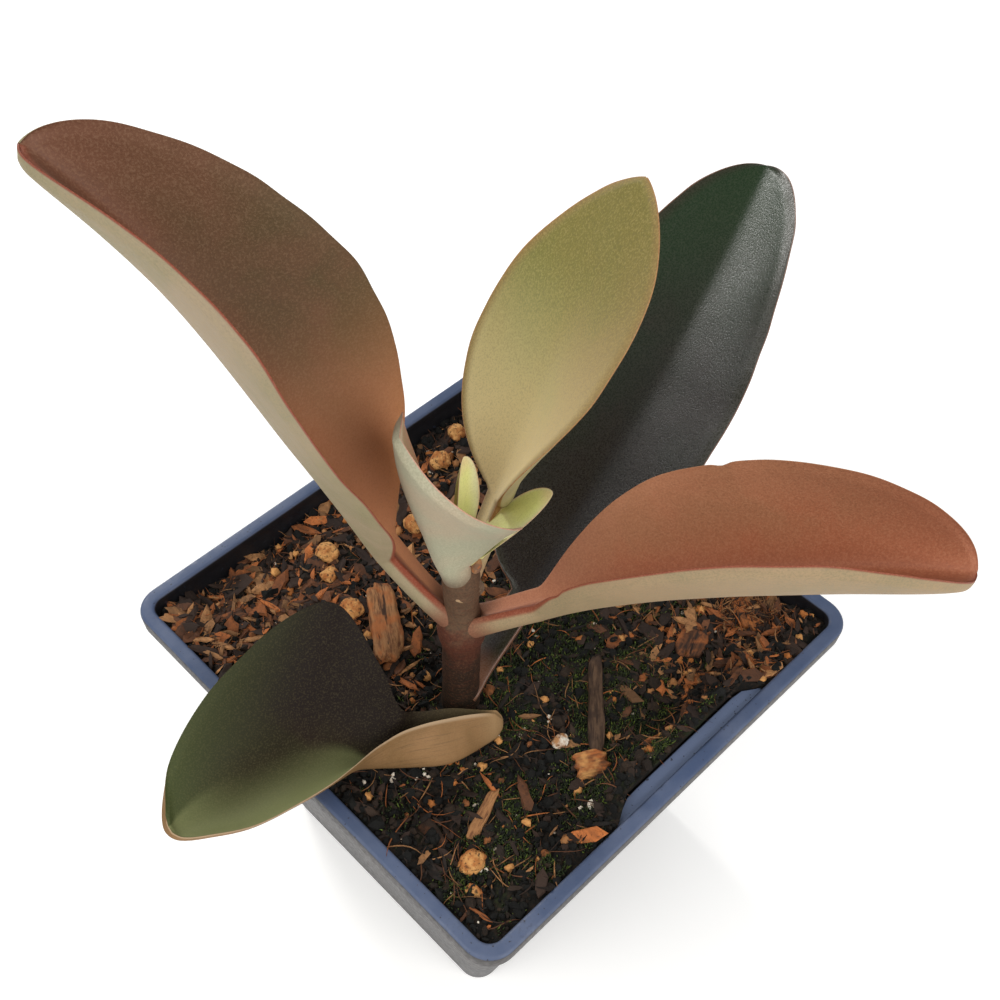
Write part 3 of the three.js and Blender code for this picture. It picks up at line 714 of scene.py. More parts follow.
def build_pot(material, sizes):
    """The pot: a profile of (half side, corner radius, height) carried round a rounded square, up the
    outside, over the lip, down the inside and across the floor, with round edges as quarter arcs."""
    lip_low = POT_TOP - sizes.lip_depth
    round_lip = sizes.lip_round
    corner = sizes.corner_radius
    base = sizes.base_side / 2
    foot_corner, foot_round = 5, 0.7
    at_lip = POT_HALF - sizes.lip_width + sizes.wall
    share = np.linspace(0, 1, 26)
    quarter = np.linspace(0, np.pi / 2, 6)
    outside = [(base * k, foot_corner * k, 0.0) for k in (0.02, 0.25, 0.5, 0.75, 0.93)]
    outside += [
        (base - foot_round + foot_round * np.sin(a), foot_corner, foot_round - foot_round * np.cos(a))
        for a in quarter
    ]
    outside += [
        (lerp(base, at_lip, k), lerp(foot_corner, corner - 1, k), lerp(foot_round, lip_low - 0.5, k))
        for k in share[1:]
    ]
    outside += [(POT_HALF - 0.8 + 0.3 * k, corner - 0.5, lip_low - 0.1) for k in (0, 1)]
    outside += [
        (POT_HALF - 0.4 + 0.4 * np.sin(a), corner, lip_low + 0.4 - 0.4 * np.cos(a)) for a in quarter
    ]
    over = [
        (POT_HALF - round_lip + round_lip * np.cos(a), corner, POT_TOP - round_lip + round_lip * np.sin(a))
        for a in quarter
    ]
    inner = POT_HALF - sizes.lip_width
    inner_corner = sizes.inner_corner
    over += [
        (
            inner + round_lip - round_lip * np.sin(a),
            inner_corner + round_lip - round_lip * np.sin(a),
            POT_TOP - round_lip + round_lip * np.cos(a),
        )
        for a in quarter
    ]
    shelf = POT_TOP - sizes.ledge_depth
    steps = (
        (0.06, 0), (0, 0.03), (0, 0.1), (0, 0.5), (0, 0.9), (0, 0.97), (-0.08, 1), (-0.2, 1),
        (-0.5, 1),
    )
    inside = [(inner, inner_corner, shelf + rise, out) for rise, out in steps]
    inside += [(lerp(inner, base - 1.2, k), inner_corner, lerp(shelf - 0.8, 2.0, k), 1 - k) for k in share]
    inside += [((base - 1.6) * k, inner_corner * k, 1.6, 0) for k in (1, 0.75, 0.5, 0.25, 0.02)]
    profile = np.array([(*row, 0.0) for row in outside + over] + inside)
    rings = np.stack([rounded_square(half, radius) for half, radius, _, _ in profile])
    rows, count = rings.shape[:2]
    z = np.broadcast_to(profile[:, 2, None], (rows, count))
    grid = np.concatenate([rings, z[..., None]], axis=2)
    height = grid[..., 2] / POT_TOP
    bow = sizes.bow * np.sin(np.pi * np.clip(height, 0, 1)) * fractal(grid, 55.0, 21, 2)
    grid[..., :2] *= (1 + bow / POT_HALF)[..., None]
    on_side = smooth(-grid[..., 1], inner - 6, inner - 1) * (grid[..., 1] < 0)
    grid[..., 1] += sizes.ledge_width * profile[:, 3, None] * ledge_share(grid[..., 0]) * on_side
    points, faces = capped(grid.reshape(-1, 3), rows, count)
    pot = make_object("pot_shell", points, faces, material)
    cut_drain_holes(pot, sizes.drain_hole / 2, sizes.drain_spacing / 2, material)
    return pot


def cut_drain_holes(pot, radius, offset, material):
    """Cuts four round holes through the floor, each with an upright many-sided tube."""
    sides = 40
    angle = round_angles(sides)
    points, faces = [], []
    for sx in (-1, 1):
        for sy in (-1, 1):
            x, y = sx * offset + radius * np.cos(angle), sy * offset + radius * np.sin(angle)
            grid = np.stack([np.column_stack([x, y, np.full(sides, z)]) for z in (-3.0, 5.0)])
            tube, tube_facets = capped(grid.reshape(-1, 3), 2, sides)
            faces.append(tube_facets + sum(len(p) for p in points))
            points.append(tube)
    cutter = make_object("drain_cutter", np.concatenate(points), np.concatenate(faces), material)
    modifier = pot.modifiers.new("drain holes", "BOOLEAN")
    modifier.operation = "DIFFERENCE"
    modifier.solver = "EXACT"
    modifier.object = cutter
    evaluated = pot.evaluated_get(bpy.context.evaluated_depsgraph_get())
    mesh = bpy.data.meshes.new_from_object(evaluated)
    pot.modifiers.clear()
    pot.data = mesh
    bpy.data.objects.remove(cutter)


# ---------------------------------------------------------------- soil


LEDGE_GAP = 3.2  # the ledge's width and a little more


def soil_surface(x, y):
    """Height of the crumbly soil: the CAD model's waves, lumps of three sizes, banks against the
    ledge and the -X and -Y walls, and a slight drop where the mix has shrunk from the others."""
    flat = np.stack([x, y, np.zeros_like(x)], axis=-1)
    lumps = 0.75 * fractal(flat, 9.0, 31, 2) + 0.4 * np.abs(noise(flat, 2.4, 32))
    lumps = lumps + 0.22 * noise(flat, 0.9, 33)
    bank = 3.0 * ledge_share(x) * smooth(-y, 36, 43) + 3.9 * smooth(np.maximum(-x, -y), 36, 45)
    shrink = 0.9 * smooth(np.maximum(x, y), SOIL_REACH - 4, SOIL_REACH)
    return soil_height(x, y) + lumps + bank - shrink


def ledge_shift(x, y):
    """How far the soil gives way in +Y to the ledge: all of it at the -Y wall, none 8 mm in."""
    return LEDGE_GAP * ledge_share(x) * smooth(-y, SOIL_REACH - 8, SOIL_REACH)


def build_soil(material):
    """The soil: rings of a rounded square from its middle out to the pot's wall, lifted to the
    crumbly height, then three rings down the wall and across the floor."""
    rings, bottom = 150, 3
    share = np.linspace(0.004, 1, rings)
    outline = rounded_square(SOIL_REACH, 2.8, 26, 70)
    flat = share[:, None, None] * outline[None]
    x, y = flat[..., 0], flat[..., 1]
    top = np.concatenate([flat, soil_surface(x, y)[..., None]], axis=2)[::-1]
    top[..., 1] += ledge_shift(top[..., 0], top[..., 1])
    half_way = lerp(SOIL_HALF, ROOT_BALL_FOOT, 0.5)
    levels = ((half_way, SOIL_LEVEL / 2), (ROOT_BALL_FOOT, SOIL_FLOOR), (0.5, SOIL_FLOOR))
    down = [
        np.column_stack([outline * half / SOIL_REACH, np.full(len(outline), z)])
        for half, z in levels
    ]
    grid = np.concatenate([np.stack(down[::-1]), top])
    points, faces = capped(grid.reshape(-1, 3), rings + bottom, len(outline))
    return make_object("soil_surface", points, faces, material)


# ---------------------------------------------------------------- loose pieces


def icosphere(subdivisions):
    """An icosahedron's corners on a unit ball and its faces, each face cut in four per subdivision."""
    g = (1 + math.sqrt(5)) / 2
    points = [
        (-1, g, 0), (1, g, 0), (-1, -g, 0), (1, -g, 0), (0, -1, g), (0, 1, g),
        (0, -1, -g), (0, 1, -g), (g, 0, -1), (g, 0, 1), (-g, 0, -1), (-g, 0, 1),
    ]
    faces = np.array(
        [
            (0, 11, 5), (0, 5, 1), (0, 1, 7), (0, 7, 10), (0, 10, 11), (1, 5, 9), (5, 11, 4),
            (11, 10, 2), (10, 7, 6), (7, 1, 8), (3, 9, 4), (3, 4, 2), (3, 2, 6), (3, 6, 8),
            (3, 8, 9), (4, 9, 5), (2, 4, 11), (6, 2, 10), (8, 6, 7), (9, 8, 1),
        ]
    )
    points = np.array(points, float)
    for _ in range(subdivisions):
        corners = points[faces]
        middles = (corners + np.roll(corners, -1, axis=1)) / 2
        a, b, c = corners[:, 0], corners[:, 1], corners[:, 2]
        ab, bc, ca = middles[:, 0], middles[:, 1], middles[:, 2]
        split = np.concatenate(
            [np.stack(t, axis=1) for t in ((a, ab, ca), (ab, b, bc), (ca, bc, c), (ab, bc, ca))]
        ).reshape(-1, 3)
        points, index = np.unique(split.round(6), axis=0, return_inverse=True)
        faces = index.reshape(-1, 3)
    return points / np.linalg.norm(points, axis=1, keepdims=True), faces


def turns(rng, count, tilt):
    """Random rotation matrices: a full turn about Z after a lean of up to tilt degrees about X and Y."""
    a = rng.uniform(0, 2 * np.pi, count)
    b, c = np.radians(rng.uniform(-tilt, tilt, (2, count)))
    zero, one = np.zeros(count), np.ones(count)
    turn_z = np.array([[np.cos(a), -np.sin(a), zero], [np.sin(a), np.cos(a), zero], [zero, zero, one]])
    turn_x = np.array([[one, zero, zero], [zero, np.cos(b), -np.sin(b)], [zero, np.sin(b), np.cos(b)]])
    turn_y = np.array([[np.cos(c), zero, np.sin(c)], [zero, one, zero], [-np.sin(c), zero, np.cos(c)]])
    return np.einsum("ijn,jkn,kln->nil", turn_z, turn_x, turn_y)


def scatter(rng, count, density, margin=1.0):
    """Random x and y inside the pot, thinned by a density from 0 to 1 and kept clear of the stem."""
    half = SOIL_REACH - 0.7 * margin
    x, y = rng.uniform(-half, half, (2, 6 * count))
    keep = rng.uniform(0, 1, 6 * count) < density(x, y)
    keep &= np.hypot(x - STEM_X, y - STEM_Y) > 4.6
    corner = np.maximum(np.abs(x) + np.abs(y) - 2 * half + 2.2, 0)
    keep &= corner == 0
    return x[keep][:count], y[keep][:count]


def copies(points, faces, rotations, sizes, places):
    """The template turned and sized for every copy, as one list of points and one of faces.
    points may hold one template for all copies, or a bent one for each."""
    count = len(places)
    shaped = np.broadcast_to(points, (count, *points.shape[-2:])) * sizes[:, None, :]
    placed = np.einsum("nij,npj->npi", rotations, shaped) + places[:, None, :]
    step = points.shape[-2]
    every = (np.arange(count)[:, None, None] * step + faces[None]).reshape(-1, 3)
    return placed.reshape(-1, 3), every


def picked(rng, palette, count, spread):
    """A colour for each copy: one of the palette's, lighter or darker by up to spread."""
    colours = np.array([tuple(c) for c in palette])[rng.integers(0, len(palette), count)]
    return colours * rng.uniform(1 - spread, 1 + spread, (count, 1))


def near(x, y, cx, cy, reach):
    """1 at a spot, falling off as a bell curve with distance."""
    return np.exp(-((x - cx) ** 2 + (y - cy) ** 2) / (2 * reach**2))


def litter_density(x, y):
    """Where coarse bark lies: mostly the -X +Y corner, the +X -Y corner and the +X +Y side."""
    return np.clip(
        0.03 + near(x, y, -38, 36, 17) + 0.9 * near(x, y, 40, -32, 14) + 0.5 * near(x, y, 5, 40, 16), 0, 1
    )


def moss_density(x, y):
    """Where moss grows: patches in the middle and towards the front corner, broken up by noise."""
    patch = near(x, y, 2, -34, 11) + near(x, y, -8, -8, 9) + near(x, y, -28, -34, 12)
    patch = patch + 0.6 * near(x, y, 18, -14, 10)
    flat = np.stack([x, y, np.zeros_like(x)], axis=-1)
    return np.clip(patch * (0.6 + 1.6 * noise(flat, 5.0, 41)), 0, 1)


def even_density(share):
    """A density that is the same share all over."""

    def density(x, y):
        return np.full_like(x, share)

    return density


def litter_over(floor):
    """A density that follows the coarse bark's and is nowhere below floor."""

    def density(x, y):
        return floor + (1 - floor) * litter_density(x, y)

    return density


def clump_places(rng, count):
    """Places of the fibres in the tuft near the pot's +X -Y corner."""
    return 40 + rng.normal(0, 3.0, count), -32 + rng.normal(0, 3.4, count)


def build_copies(name, material, rng, palette, spread, points, faces, sizes, places, tilt, flat=False):
    """One mesh of many loose pieces, each with its own tint, lean, size and place."""
    colours = picked(rng, palette, len(places), spread)
    rotations = turns(rng, len(places), tilt)
    placed, every = copies(points, faces, rotations, sizes, places)
    tint = np.repeat(colours, points.shape[-2], axis=0)
    return make_object(name, placed, every, material, {"tint": tint}, shade_smooth=not flat)


def on_soil(x, y, lift):
    """Points on the soil at x and y, raised by lift."""
    return np.stack([x, y + ledge_shift(x, y), soil_surface(x, y) + lift], axis=1)


def lumpy(rng, points, count, rough):
    """A template for each copy: every corner moved in or out by up to rough."""
    return points[None] * rng.uniform(1 - rough, 1 + rough, (count, len(points), 1))


def build_crumbs(material, palette, rng, count):
    """Fine dark crumbs of the mix: dented 20-sided grains, half sunk in the soil."""
    x, y = scatter(rng, count, even_density(1.0), 0.6)
    points, faces = icosphere(0)
    size = rng.lognormal(-0.75, 0.42, len(x))[:, None] * rng.uniform(0.6, 1.3, (len(x), 3))
    size = np.clip(size, 0.18, 1.5)
    places = on_soil(x, y, 0.35 * size[:, 2])
    shapes = lumpy(rng, points, len(x), 0.3)
    return build_copies(
        "soil_crumbs", material, rng, palette, 0.5, shapes, faces, size, places, 90, flat=True
    )


def build_flakes(name, material, palette, rng, count, density, length, lift):
    """Splinters and flakes of bark: six-sided slabs with ragged corners and bevelled faces."""
    x, y = scatter(rng, count, density, 1.6)
    angle = np.radians([10, 62, 118, 175, 236, 304])
    outline = np.stack([np.cos(angle), np.sin(angle)], axis=1)
    layers = [np.column_stack([outline * k, np.full(6, z)]) for k, z in ((0.8, -0.5), (1, 0), (0.85, 0.5))]
    points, faces = capped(np.concatenate(layers), 3, 6)
    shapes = lumpy(rng, points, len(x), 0.34)
    long = length[0] + (length[1] - length[0]) * rng.uniform(0, 1, len(x)) ** 1.8
    wide = long * rng.uniform(0.14, 0.5, len(x))
    thick = long * rng.uniform(0.1, 0.32, len(x))
    sizes = np.stack([long, wide, thick], axis=1)
    places = on_soil(x, y, lift + rng.uniform(0, 0.9, len(x)))
    return build_copies(name, material, rng, palette, 0.5, shapes, faces, sizes, places, 24, flat=True)


def build_fibres(name, material, palette, rng, x, y, length, lift, tilt, thick):
    """Thin curved strands: a tapering four-sided tube whose line bends as a parabola and a cubic."""
    count = len(x)
    rings, sides = 8, 4
    s = np.linspace(-0.5, 0.5, rings)
    angle = round_angles(sides)
    taper = np.sqrt(np.maximum(1.02 - (2 * s) ** 2, 0.05))
    long = rng.uniform(*length, count)
    radius = rng.uniform(*thick, count)
    bend = rng.normal(0, 0.45, count)
    curl = rng.normal(0, 0.9, count)
    lift_bend = rng.normal(0, 0.22, count)
    line = np.stack(
        [
            np.broadcast_to(s, (count, rings)),
            bend[:, None] * s**2 + curl[:, None] * s**3,
            lift_bend[:, None] * s**2,
        ],
        axis=2,
    ) * long[:, None, None]
    around = np.stack([np.zeros(sides), np.cos(angle), np.sin(angle)], axis=1)
    tube = line[:, :, None] + around[None, None] * (radius[:, None] * taper)[..., None, None]
    faces = capped(tube[0].reshape(-1, 3), rings, sides)[1]
    body = tube.reshape(count, -1, 3)
    ends = np.stack([body[:, :sides].mean(axis=1), body[:, -sides:].mean(axis=1)], axis=1)
    shapes = np.concatenate([body, ends], axis=1)
    places = on_soil(x, y, lift)
    ones = np.ones((count, 3))
    return build_copies(name, material, rng, palette, 0.35, shapes, faces, ones, places, tilt)


def build_moss(material, palette, rng, count):
    """Moss: tiny leaning three-sided spikes, thick in patches."""
    x, y = scatter(rng, count, moss_density, 1.2)
    angle = np.radians([90, 210, 330])
    base = np.column_stack([np.cos(angle), np.sin(angle), np.zeros(3)])
    points = np.concatenate([base, [[0.6, 0.2, 1]]])
    faces = np.array([(0, 1, 3), (1, 2, 3), (2, 0, 3), (0, 2, 1)])
    wide = rng.uniform(0.12, 0.26, len(x))
    sizes = np.stack([wide, wide, rng.uniform(0.5, 1.5, len(x))], axis=1)
    places = on_soil(x, y, 0.0)
    return build_copies("moss_tufts", material, rng, palette, 0.5, points, faces, sizes, places, 38)


def build_granules(name, material, palette, rng, count, density, size):
    """Small porous grains: lumpy 80-sided balls resting in the soil."""
    x, y = scatter(rng, count, density, 1.6)
    points, faces = icosphere(1)
    shapes = lumpy(rng, points, len(x), 0.34)
    across = rng.uniform(*size, len(x))[:, None] * rng.uniform(0.7, 1.2, (len(x), 3)) / 2
    places = on_soil(x, y, 0.6 * across[:, 2])
    return build_copies(name, material, rng, palette, 0.2, shapes, faces, across, places, 90)


def build_pebble(node, name, material, seed, craggy):
    """A pebble that fills its CAD node's box: a ball swollen by soft lumps and pitted by fine ones."""
    low, high, centre = box_mm(node)
    rows, count = 48, 64
    polar = np.linspace(0.03, np.pi - 0.03, rows)
    angle = round_angles(count)
    ball = np.stack(
        [
            np.sin(polar)[:, None] * np.cos(angle),
            np.sin(polar)[:, None] * np.sin(angle),
            -np.cos(polar)[:, None] * np.ones(count),
        ],
        axis=2,
    )
    lumps = 0.24 * noise(ball, 0.9, seed) + 0.13 * noise(ball, 0.38, seed + 1)
    pits = -craggy * smooth(noise(ball, 0.2, seed + 2), 0.25, 0.7)
    grid = centre + ball * (1 + lumps + pits)[..., None] * (high - low) / 2 * [1.05, 1.05, 1.0]
    grid[..., 2] = np.maximum(grid[..., 2], low[2] - 0.6) - 0.35
    points, faces = capped(grid.reshape(-1, 3), rows, count)
    return make_object(name, points, faces, material)


# Long pieces that lie on the soil: length, width, thickness, turn, and how deeply grain cuts them.
CHIPS = {
    "bark_chip_1": (18.5, 5.8, 3.0, 55, 0.42),
    "bark_chip_2": (6.8, 5.4, 1.9, 20, 0.14),
    "bark_chip_3": (6.2, 5.4, 2.4, -30, 0.24),
    "bark_chip_4": (9.5, 4.0, 1.6, 75, 0.24),
    "bark_chip_5": (12, 3.4, 1.6, -20, 0.2),
    "bark_chip_6": (8.2, 3.6, 1.7, 65, 0.22),
    "bark_chip_7": (10.5, 2.2, 1.5, 20, 0.2),
    "wood_stick": (21.5, 2.9, 2.0, 223, 0.16),
}


def build_chip(node, name, material, seed):
    """A splinter: a slab whose section is a squarish oval and whose ends are torn, with furrows that
    run along its grain, each a noise stretched six times along the length."""
    length, width, thick, turn, furrow = CHIPS[node]
    rows, count = 90, 56
    t = np.linspace(-1, 1, rows)
    angle = round_angles(count)
    power = 0.55
    oval_y = np.sign(np.cos(angle)) * np.abs(np.cos(angle)) ** power
    oval_z = np.sign(np.sin(angle)) * np.abs(np.sin(angle)) ** power
    taper = np.maximum(1 - np.abs(t) ** 6, 0.02) ** 0.4
    grid = np.stack(
        [
            np.repeat((t * length / 2)[:, None], count, axis=1),
            taper[:, None] * oval_y * width / 2,
            taper[:, None] * oval_z * thick / 2,
        ],
        axis=2,
    )
    ragged = 0.9 * noise(grid * [0, 1.6, 0.4], 1.2, seed + 5) * smooth(np.abs(t), 0.7, 1.0)[:, None]
    grid[..., 0] += ragged
    bulk = 0.16 * noise(grid, 4.5, seed)
    ridges = furrow * noise(grid * [0.16, 1, 1], 0.75, seed + 1)
    ridges = ridges + 0.4 * furrow * noise(grid * [0.3, 1, 1], 0.33, seed + 2)
    push = grid * [0, 1, 1]
    size = np.maximum(np.linalg.norm(push, axis=2, keepdims=True), 0.2)
    grid = grid + push / size * (ridges + bulk * width * 0.5)[..., None]
    grid[..., 2] += 0.03 * length * (t**2)[:, None] * (0.5 if node == "bark_chip_1" else 0.15)
    a = math.radians(turn)
    spin = np.array([[math.cos(a), math.sin(a), 0], [-math.sin(a), math.cos(a), 0], [0, 0, 1]])
    low, _, centre = box_mm(node)
    centre = np.array([centre[0], centre[1], low[2] + thick / 2 - 0.5])
    points, faces = capped((grid @ spin + centre).reshape(-1, 3), rows, count)
    return make_object(name, points, faces, material)


# ---------------------------------------------------------------- materials


def pot_material(colours):
    """Scuffed moulded plastic: blue-grey, warmer and dustier low on the walls, dark dirt inside, fine
    scratches, and paler worn edges."""
    material, s, out = new_material("pot plastic", Roughness=0.45, IOR=1.46)
    here = s.here()
    height = s.add("ShaderNodeSeparateXYZ", {"Vector": here})
    z = height.outputs["Z"]
    cloud = s.noise(here, 60, 4, 0.6)
    fine = s.noise(here, 900, 2, 0.6)
    streak = s.noise(s.stretched(here, (1, 1, 0.12)), 220, 3, 0.6)
    speck = s.noise(here, 1500, 1, 0.5)
    surface = s.add("ShaderNodeTexCoord")
    upward = s.add("ShaderNodeSeparateXYZ", {"Vector": surface.outputs["Normal"]})
    on_top = s.span(upward.outputs["Z"], 0.2, 0.7)
    wall = s.mix(s.span(cloud, 0.35, 0.65), colours.wall, colours.wall_dust)
    wall = s.mix(s.span(streak, 0.5, 0.75, 0, 0.5), wall, colours.wall_dust)
    rim = s.mix(s.span(cloud, 0.3, 0.7), colours.rim, colours.rim_pale)
    lip = s.math("MULTIPLY", on_top, s.span(z, 0.080, 0.083))
    # facing_in marks the walls' inward faces, which take the painted shade below
    facing = {0: surface.outputs["Normal"], 1: here}
    outward = s.add("ShaderNodeVectorMath", facing, operation="DOT_PRODUCT")
    height_part = s.math("MULTIPLY", upward.outputs["Z"], z)
    facing_in = s.span(s.math("SUBTRACT", outward.outputs["Value"], height_part), 0.0, -0.02)
    rim = s.mix(s.span(z, 0.0872, 0.0868), rim, colours.ledge)
    colour = s.mix(lip, wall, rim)
    # Painted shade: the inward faces below the lip take the near-black inside colour. It stands in for the
    # shade inside the pot and for the dark line under the lip.
    colour = s.mix(s.math("MULTIPLY", facing_in, s.span(z, 0.0877, 0.0873)), colour, colours.inside)
    scratch = s.noise(s.stretched(here, (1, 7, 1)), 520, 2, 0.7, 1.2)
    colour = s.mix(s.span(scratch, 0.66, 0.74, 0, 0.35), colour, colours.rim_pale)
    colour = s.mix(s.span(speck, 0.7, 0.76, 0, 0.8), colour, colours.dirt)
    splashed = s.math("MULTIPLY", s.span(cloud, 0.52, 0.75, 0, 0.5), s.span(speck, 0.5, 0.65))
    colour = s.mix(splashed, colour, colours.dirt)
    s.set(out.inputs["Base Color"], colour)
    s.set(out.inputs["Roughness"], s.span(fine, 0.2, 0.8, 0.38, 0.62))
    height_sum = s.math("ADD", fine, s.math("MULTIPLY", scratch, 0.8))
    s.set(out.inputs["Normal"], s.bump(height_sum, 0.25, 0.0001))
    return material


def stem_material(colours):
    """Felted stem: brown olive low down, red-brown at the lower node, grey pink above it."""
    material, s, out = new_material("stem felt", Roughness=0.72, IOR=1.4)
    out.inputs["Specular IOR Level"].default_value = 0.3
    here = s.here()
    z = s.add("ShaderNodeSeparateXYZ", {"Vector": here}).outputs["Z"]
    grain = use_group(s, grain_group(), Vector=here, Fleck_Size=0.0004, Mottle_Size=0.004)
    shifted = s.math("ADD", z, s.math("MULTIPLY", s.math("SUBTRACT", grain["Mottle"], 0.5), 0.004))
    colour = s.mix(s.span(shifted, 0.084, 0.096), colours.stem_foot, colours.stem_low)
    colour = s.mix(s.span(shifted, 0.099, 0.106), colour, colours.stem_node)
    colour = s.mix(s.span(shifted, 0.108, 0.113), colour, colours.stem_top)
    ring = s.noise(s.stretched(here, (1, 1, 5)), 420, 3, 0.6)
    colour = s.mix(s.span(ring, 0.45, 0.7, 0, 0.45), colour, colours.stem_node)
    colour = s.mix(s.span(grain["Fleck"], 0.5, 1, 0, 0.28), colour, colours.stem_fleck)
    colour = s.mix(s.span(grain["Fleck"], 0.5, 0, 0, 0.3), colour, (0.03, 0.025, 0.02))
    s.set(out.inputs["Base Color"], colour)
    s.set(out.inputs["Normal"], s.bump(s.math("ADD", grain["Height"], ring), 0.45, 0.0003))
    return material


def soil_material(colours):
    """Damp mix: near-black peat with brown and green patches at several sizes."""
    material, s, out = new_material("damp mix", Roughness=0.9, IOR=1.35)
    here = s.here()
    patch = s.noise(here, 90, 5, 0.65)
    crumb = s.noise(here, 800, 4, 0.7)
    green = s.noise(here, 140, 4, 0.6)
    colour = s.mix(s.span(crumb, 0.42, 0.7), colours.soil_dark, colours.soil_brown)
    mossy = s.math("MULTIPLY", s.span(green, 0.52, 0.66), s.span(crumb, 0.4, 0.6, 0.2, 0.7))
    colour = s.mix(mossy, colour, colours.moss_dark)
    colour = s.mix(s.span(patch, 0.55, 0.75, 0, 0.5), colour, colours.soil_dark)
    s.set(out.inputs["Base Color"], colour)
    s.set(out.inputs["Normal"], s.bump(crumb, 0.8, 0.0008))
    return material


def litter_material(name, roughness, grain_scale, depth, pit_share, pit_colour, streaks=(1, 1, 1)):
    """Loose pieces: each copy's own tint, with streaks and dark pits or pores over it."""
    material, s, out = new_material(name, Roughness=roughness, IOR=1.4)
    here = s.here()
    grain = s.noise(s.stretched(here, streaks), grain_scale, 4, 0.65)
    pore = s.noise(here, grain_scale * 2.1, 2, 0.6)
    tint = s.attribute("tint", "Color")
    colour = s.mix(s.span(grain, 0.35, 0.7, 0.45, 0), tint, pit_colour)
    colour = s.mix(s.span(pore, 0.56, 0.68, 0, pit_share), colour, pit_colour)
    s.set(out.inputs["Base Color"], colour)
    s.set(out.inputs["Normal"], s.bump(grain, 0.7, depth))
    return material


def wood_material(name, colours, turn):
    """Weathered bark or wood: light and dark streaks along a grain that lies at turn degrees."""
    light, dark, warm = colours
    material, s, out = new_material(name, Roughness=0.8, IOR=1.4)
    here = s.here()
    mapping = s.add("ShaderNodeMapping", {"Vector": here, "Rotation": (0, 0, -math.radians(turn))})
    grain_vector = s.stretched(mapping.outputs[0], (0.14, 1, 1))
    streak = s.noise(grain_vector, 1300, 4, 0.7)
    crack = s.noise(grain_vector, 620, 3, 0.6, 0.3)
    cloud = s.noise(here, 260, 3, 0.6)
    colour = s.mix(s.span(streak, 0.35, 0.65), dark, light)
    colour = s.mix(s.span(cloud, 0.45, 0.65, 0, 0.75), colour, warm)
    colour = s.mix(s.span(crack, 0.42, 0.34, 0, 0.9), colour, tuple(0.2 * c for c in dark))
    s.set(out.inputs["Base Color"], colour)
    s.set(out.inputs["Normal"], s.bump(s.math("ADD", streak, crack), 0.8, 0.0004))
    return material


def stone_material(name, light, dark, pit):
    """Porous stone: two clouded tones and dark pits."""
    material, s, out = new_material(name, Roughness=0.85, IOR=1.45)
    here = s.here()
    cloud = s.noise(here, 420, 4, 0.6)
    pore = s.noise(here, 1500, 3, 0.6)
    colour = s.mix(s.span(cloud, 0.38, 0.62), light, dark)
    colour = s.mix(s.span(pore, 0.55, 0.66, 0, 0.8), colour, pit)
    s.set(out.inputs["Base Color"], colour)
    s.set(out.inputs["Normal"], s.bump(s.math("SUBTRACT", 1.0, pore), 0.8, 0.0004))
    return material


# ---------------------------------------------------------------- what a user can change


def colour_property(name, description, rgb):
    """A colour that a user can change, its default given in sRGB numbers out of 255."""
    return bpy.props.FloatVectorProperty(
        name=name, description=description, subtype="COLOR", size=3, min=0, max=1, default=srgb(*rgb)
    )


def length_property(name, description, millimetres):
    """A size that a user can change."""
    return bpy.props.FloatProperty(name=name, description=description, default=millimetres, min=0)


def count_property(name, description, number, least=0):
    """A whole number that a user can change."""
    return bpy.props.IntProperty(name=name, description=description, default=number, min=least)


LOOK_COLOURS = {
    "blade": ("Blade", "Main colour of the upper face"),
    "mottle": ("Mottle", "Second colour, mottled over the upper face"),
    "side": ("Far side", "Colour that the upper face takes towards its right margin"),
    "base": ("Base", "Colour of the upper face near the petiole"),
    "margin": ("Margin", "Colour of a band along the margins"),
    "rim": ("Rim", "Colour of the very edge"),
    "under": ("Underside", "Main colour of the underside"),
    "under_mottle": ("Underside mottle", "Second colour of the underside"),
    "tip": ("Tip", "Colour of the upper face towards its tip"),
    "joint": ("Joint", "Colour of the petiole where it leaves the stem"),
    "fleck_colour": ("Flecks", "Colour of the fine pale flecks of felt"),
    "sheen_tint": ("Sheen", "Colour of the felt's sheen"),
}
LOOK_NUMBERS = {
    "margin_width": ("Margin width", "Width of the margin band, in millimetres"),
    "base_to": ("Base length", "Share of the blade that the base colour reaches"),
    "side_from": ("Side start", "Where across the blade the far side's colour starts, 1 left to -1 right"),
    "side_to": ("Side end", "Place across the blade where the far side's colour is full"),
    "fleck": ("Fleck strength", "How strongly the flecks show"),
    "roughness": ("Roughness", "Mean roughness of the felt"),
    "sheen": ("Sheen amount", "How much of the felt's sheen shows"),
    "margin_side": ("Margin side", "Side with the margin colour: 1 left, -1 right, 0 both"),
    "rim_width": ("Rim width", "Width of the coloured edge, in millimetres"),
    "dimples": ("Dimples", "Depth of the soft dimples over the face"),
    "specular": ("Gloss", "Strength of the mirror reflection, 0.5 for plain leaf skin"),
    "striae": ("Striae", "How strongly dark strands show on the underside"),
    "tip_from": ("Tip start", "Share of the blade where the tip's colour starts"),
}


def look_class(class_name, description, **values):
    """A PropertyGroup that holds one kind of leaf's colours and numbers, with these defaults."""
    fields = {}
    for key, (name, words) in LOOK_COLOURS.items():
        fields[key] = colour_property(name, words, values[key])
    for key, (name, words) in LOOK_NUMBERS.items():
        fields[key] = bpy.props.FloatProperty(name=name, description=words, default=values[key])
    return type(class_name, (bpy.types.PropertyGroup,), {"__annotations__": fields, "__doc__": description})
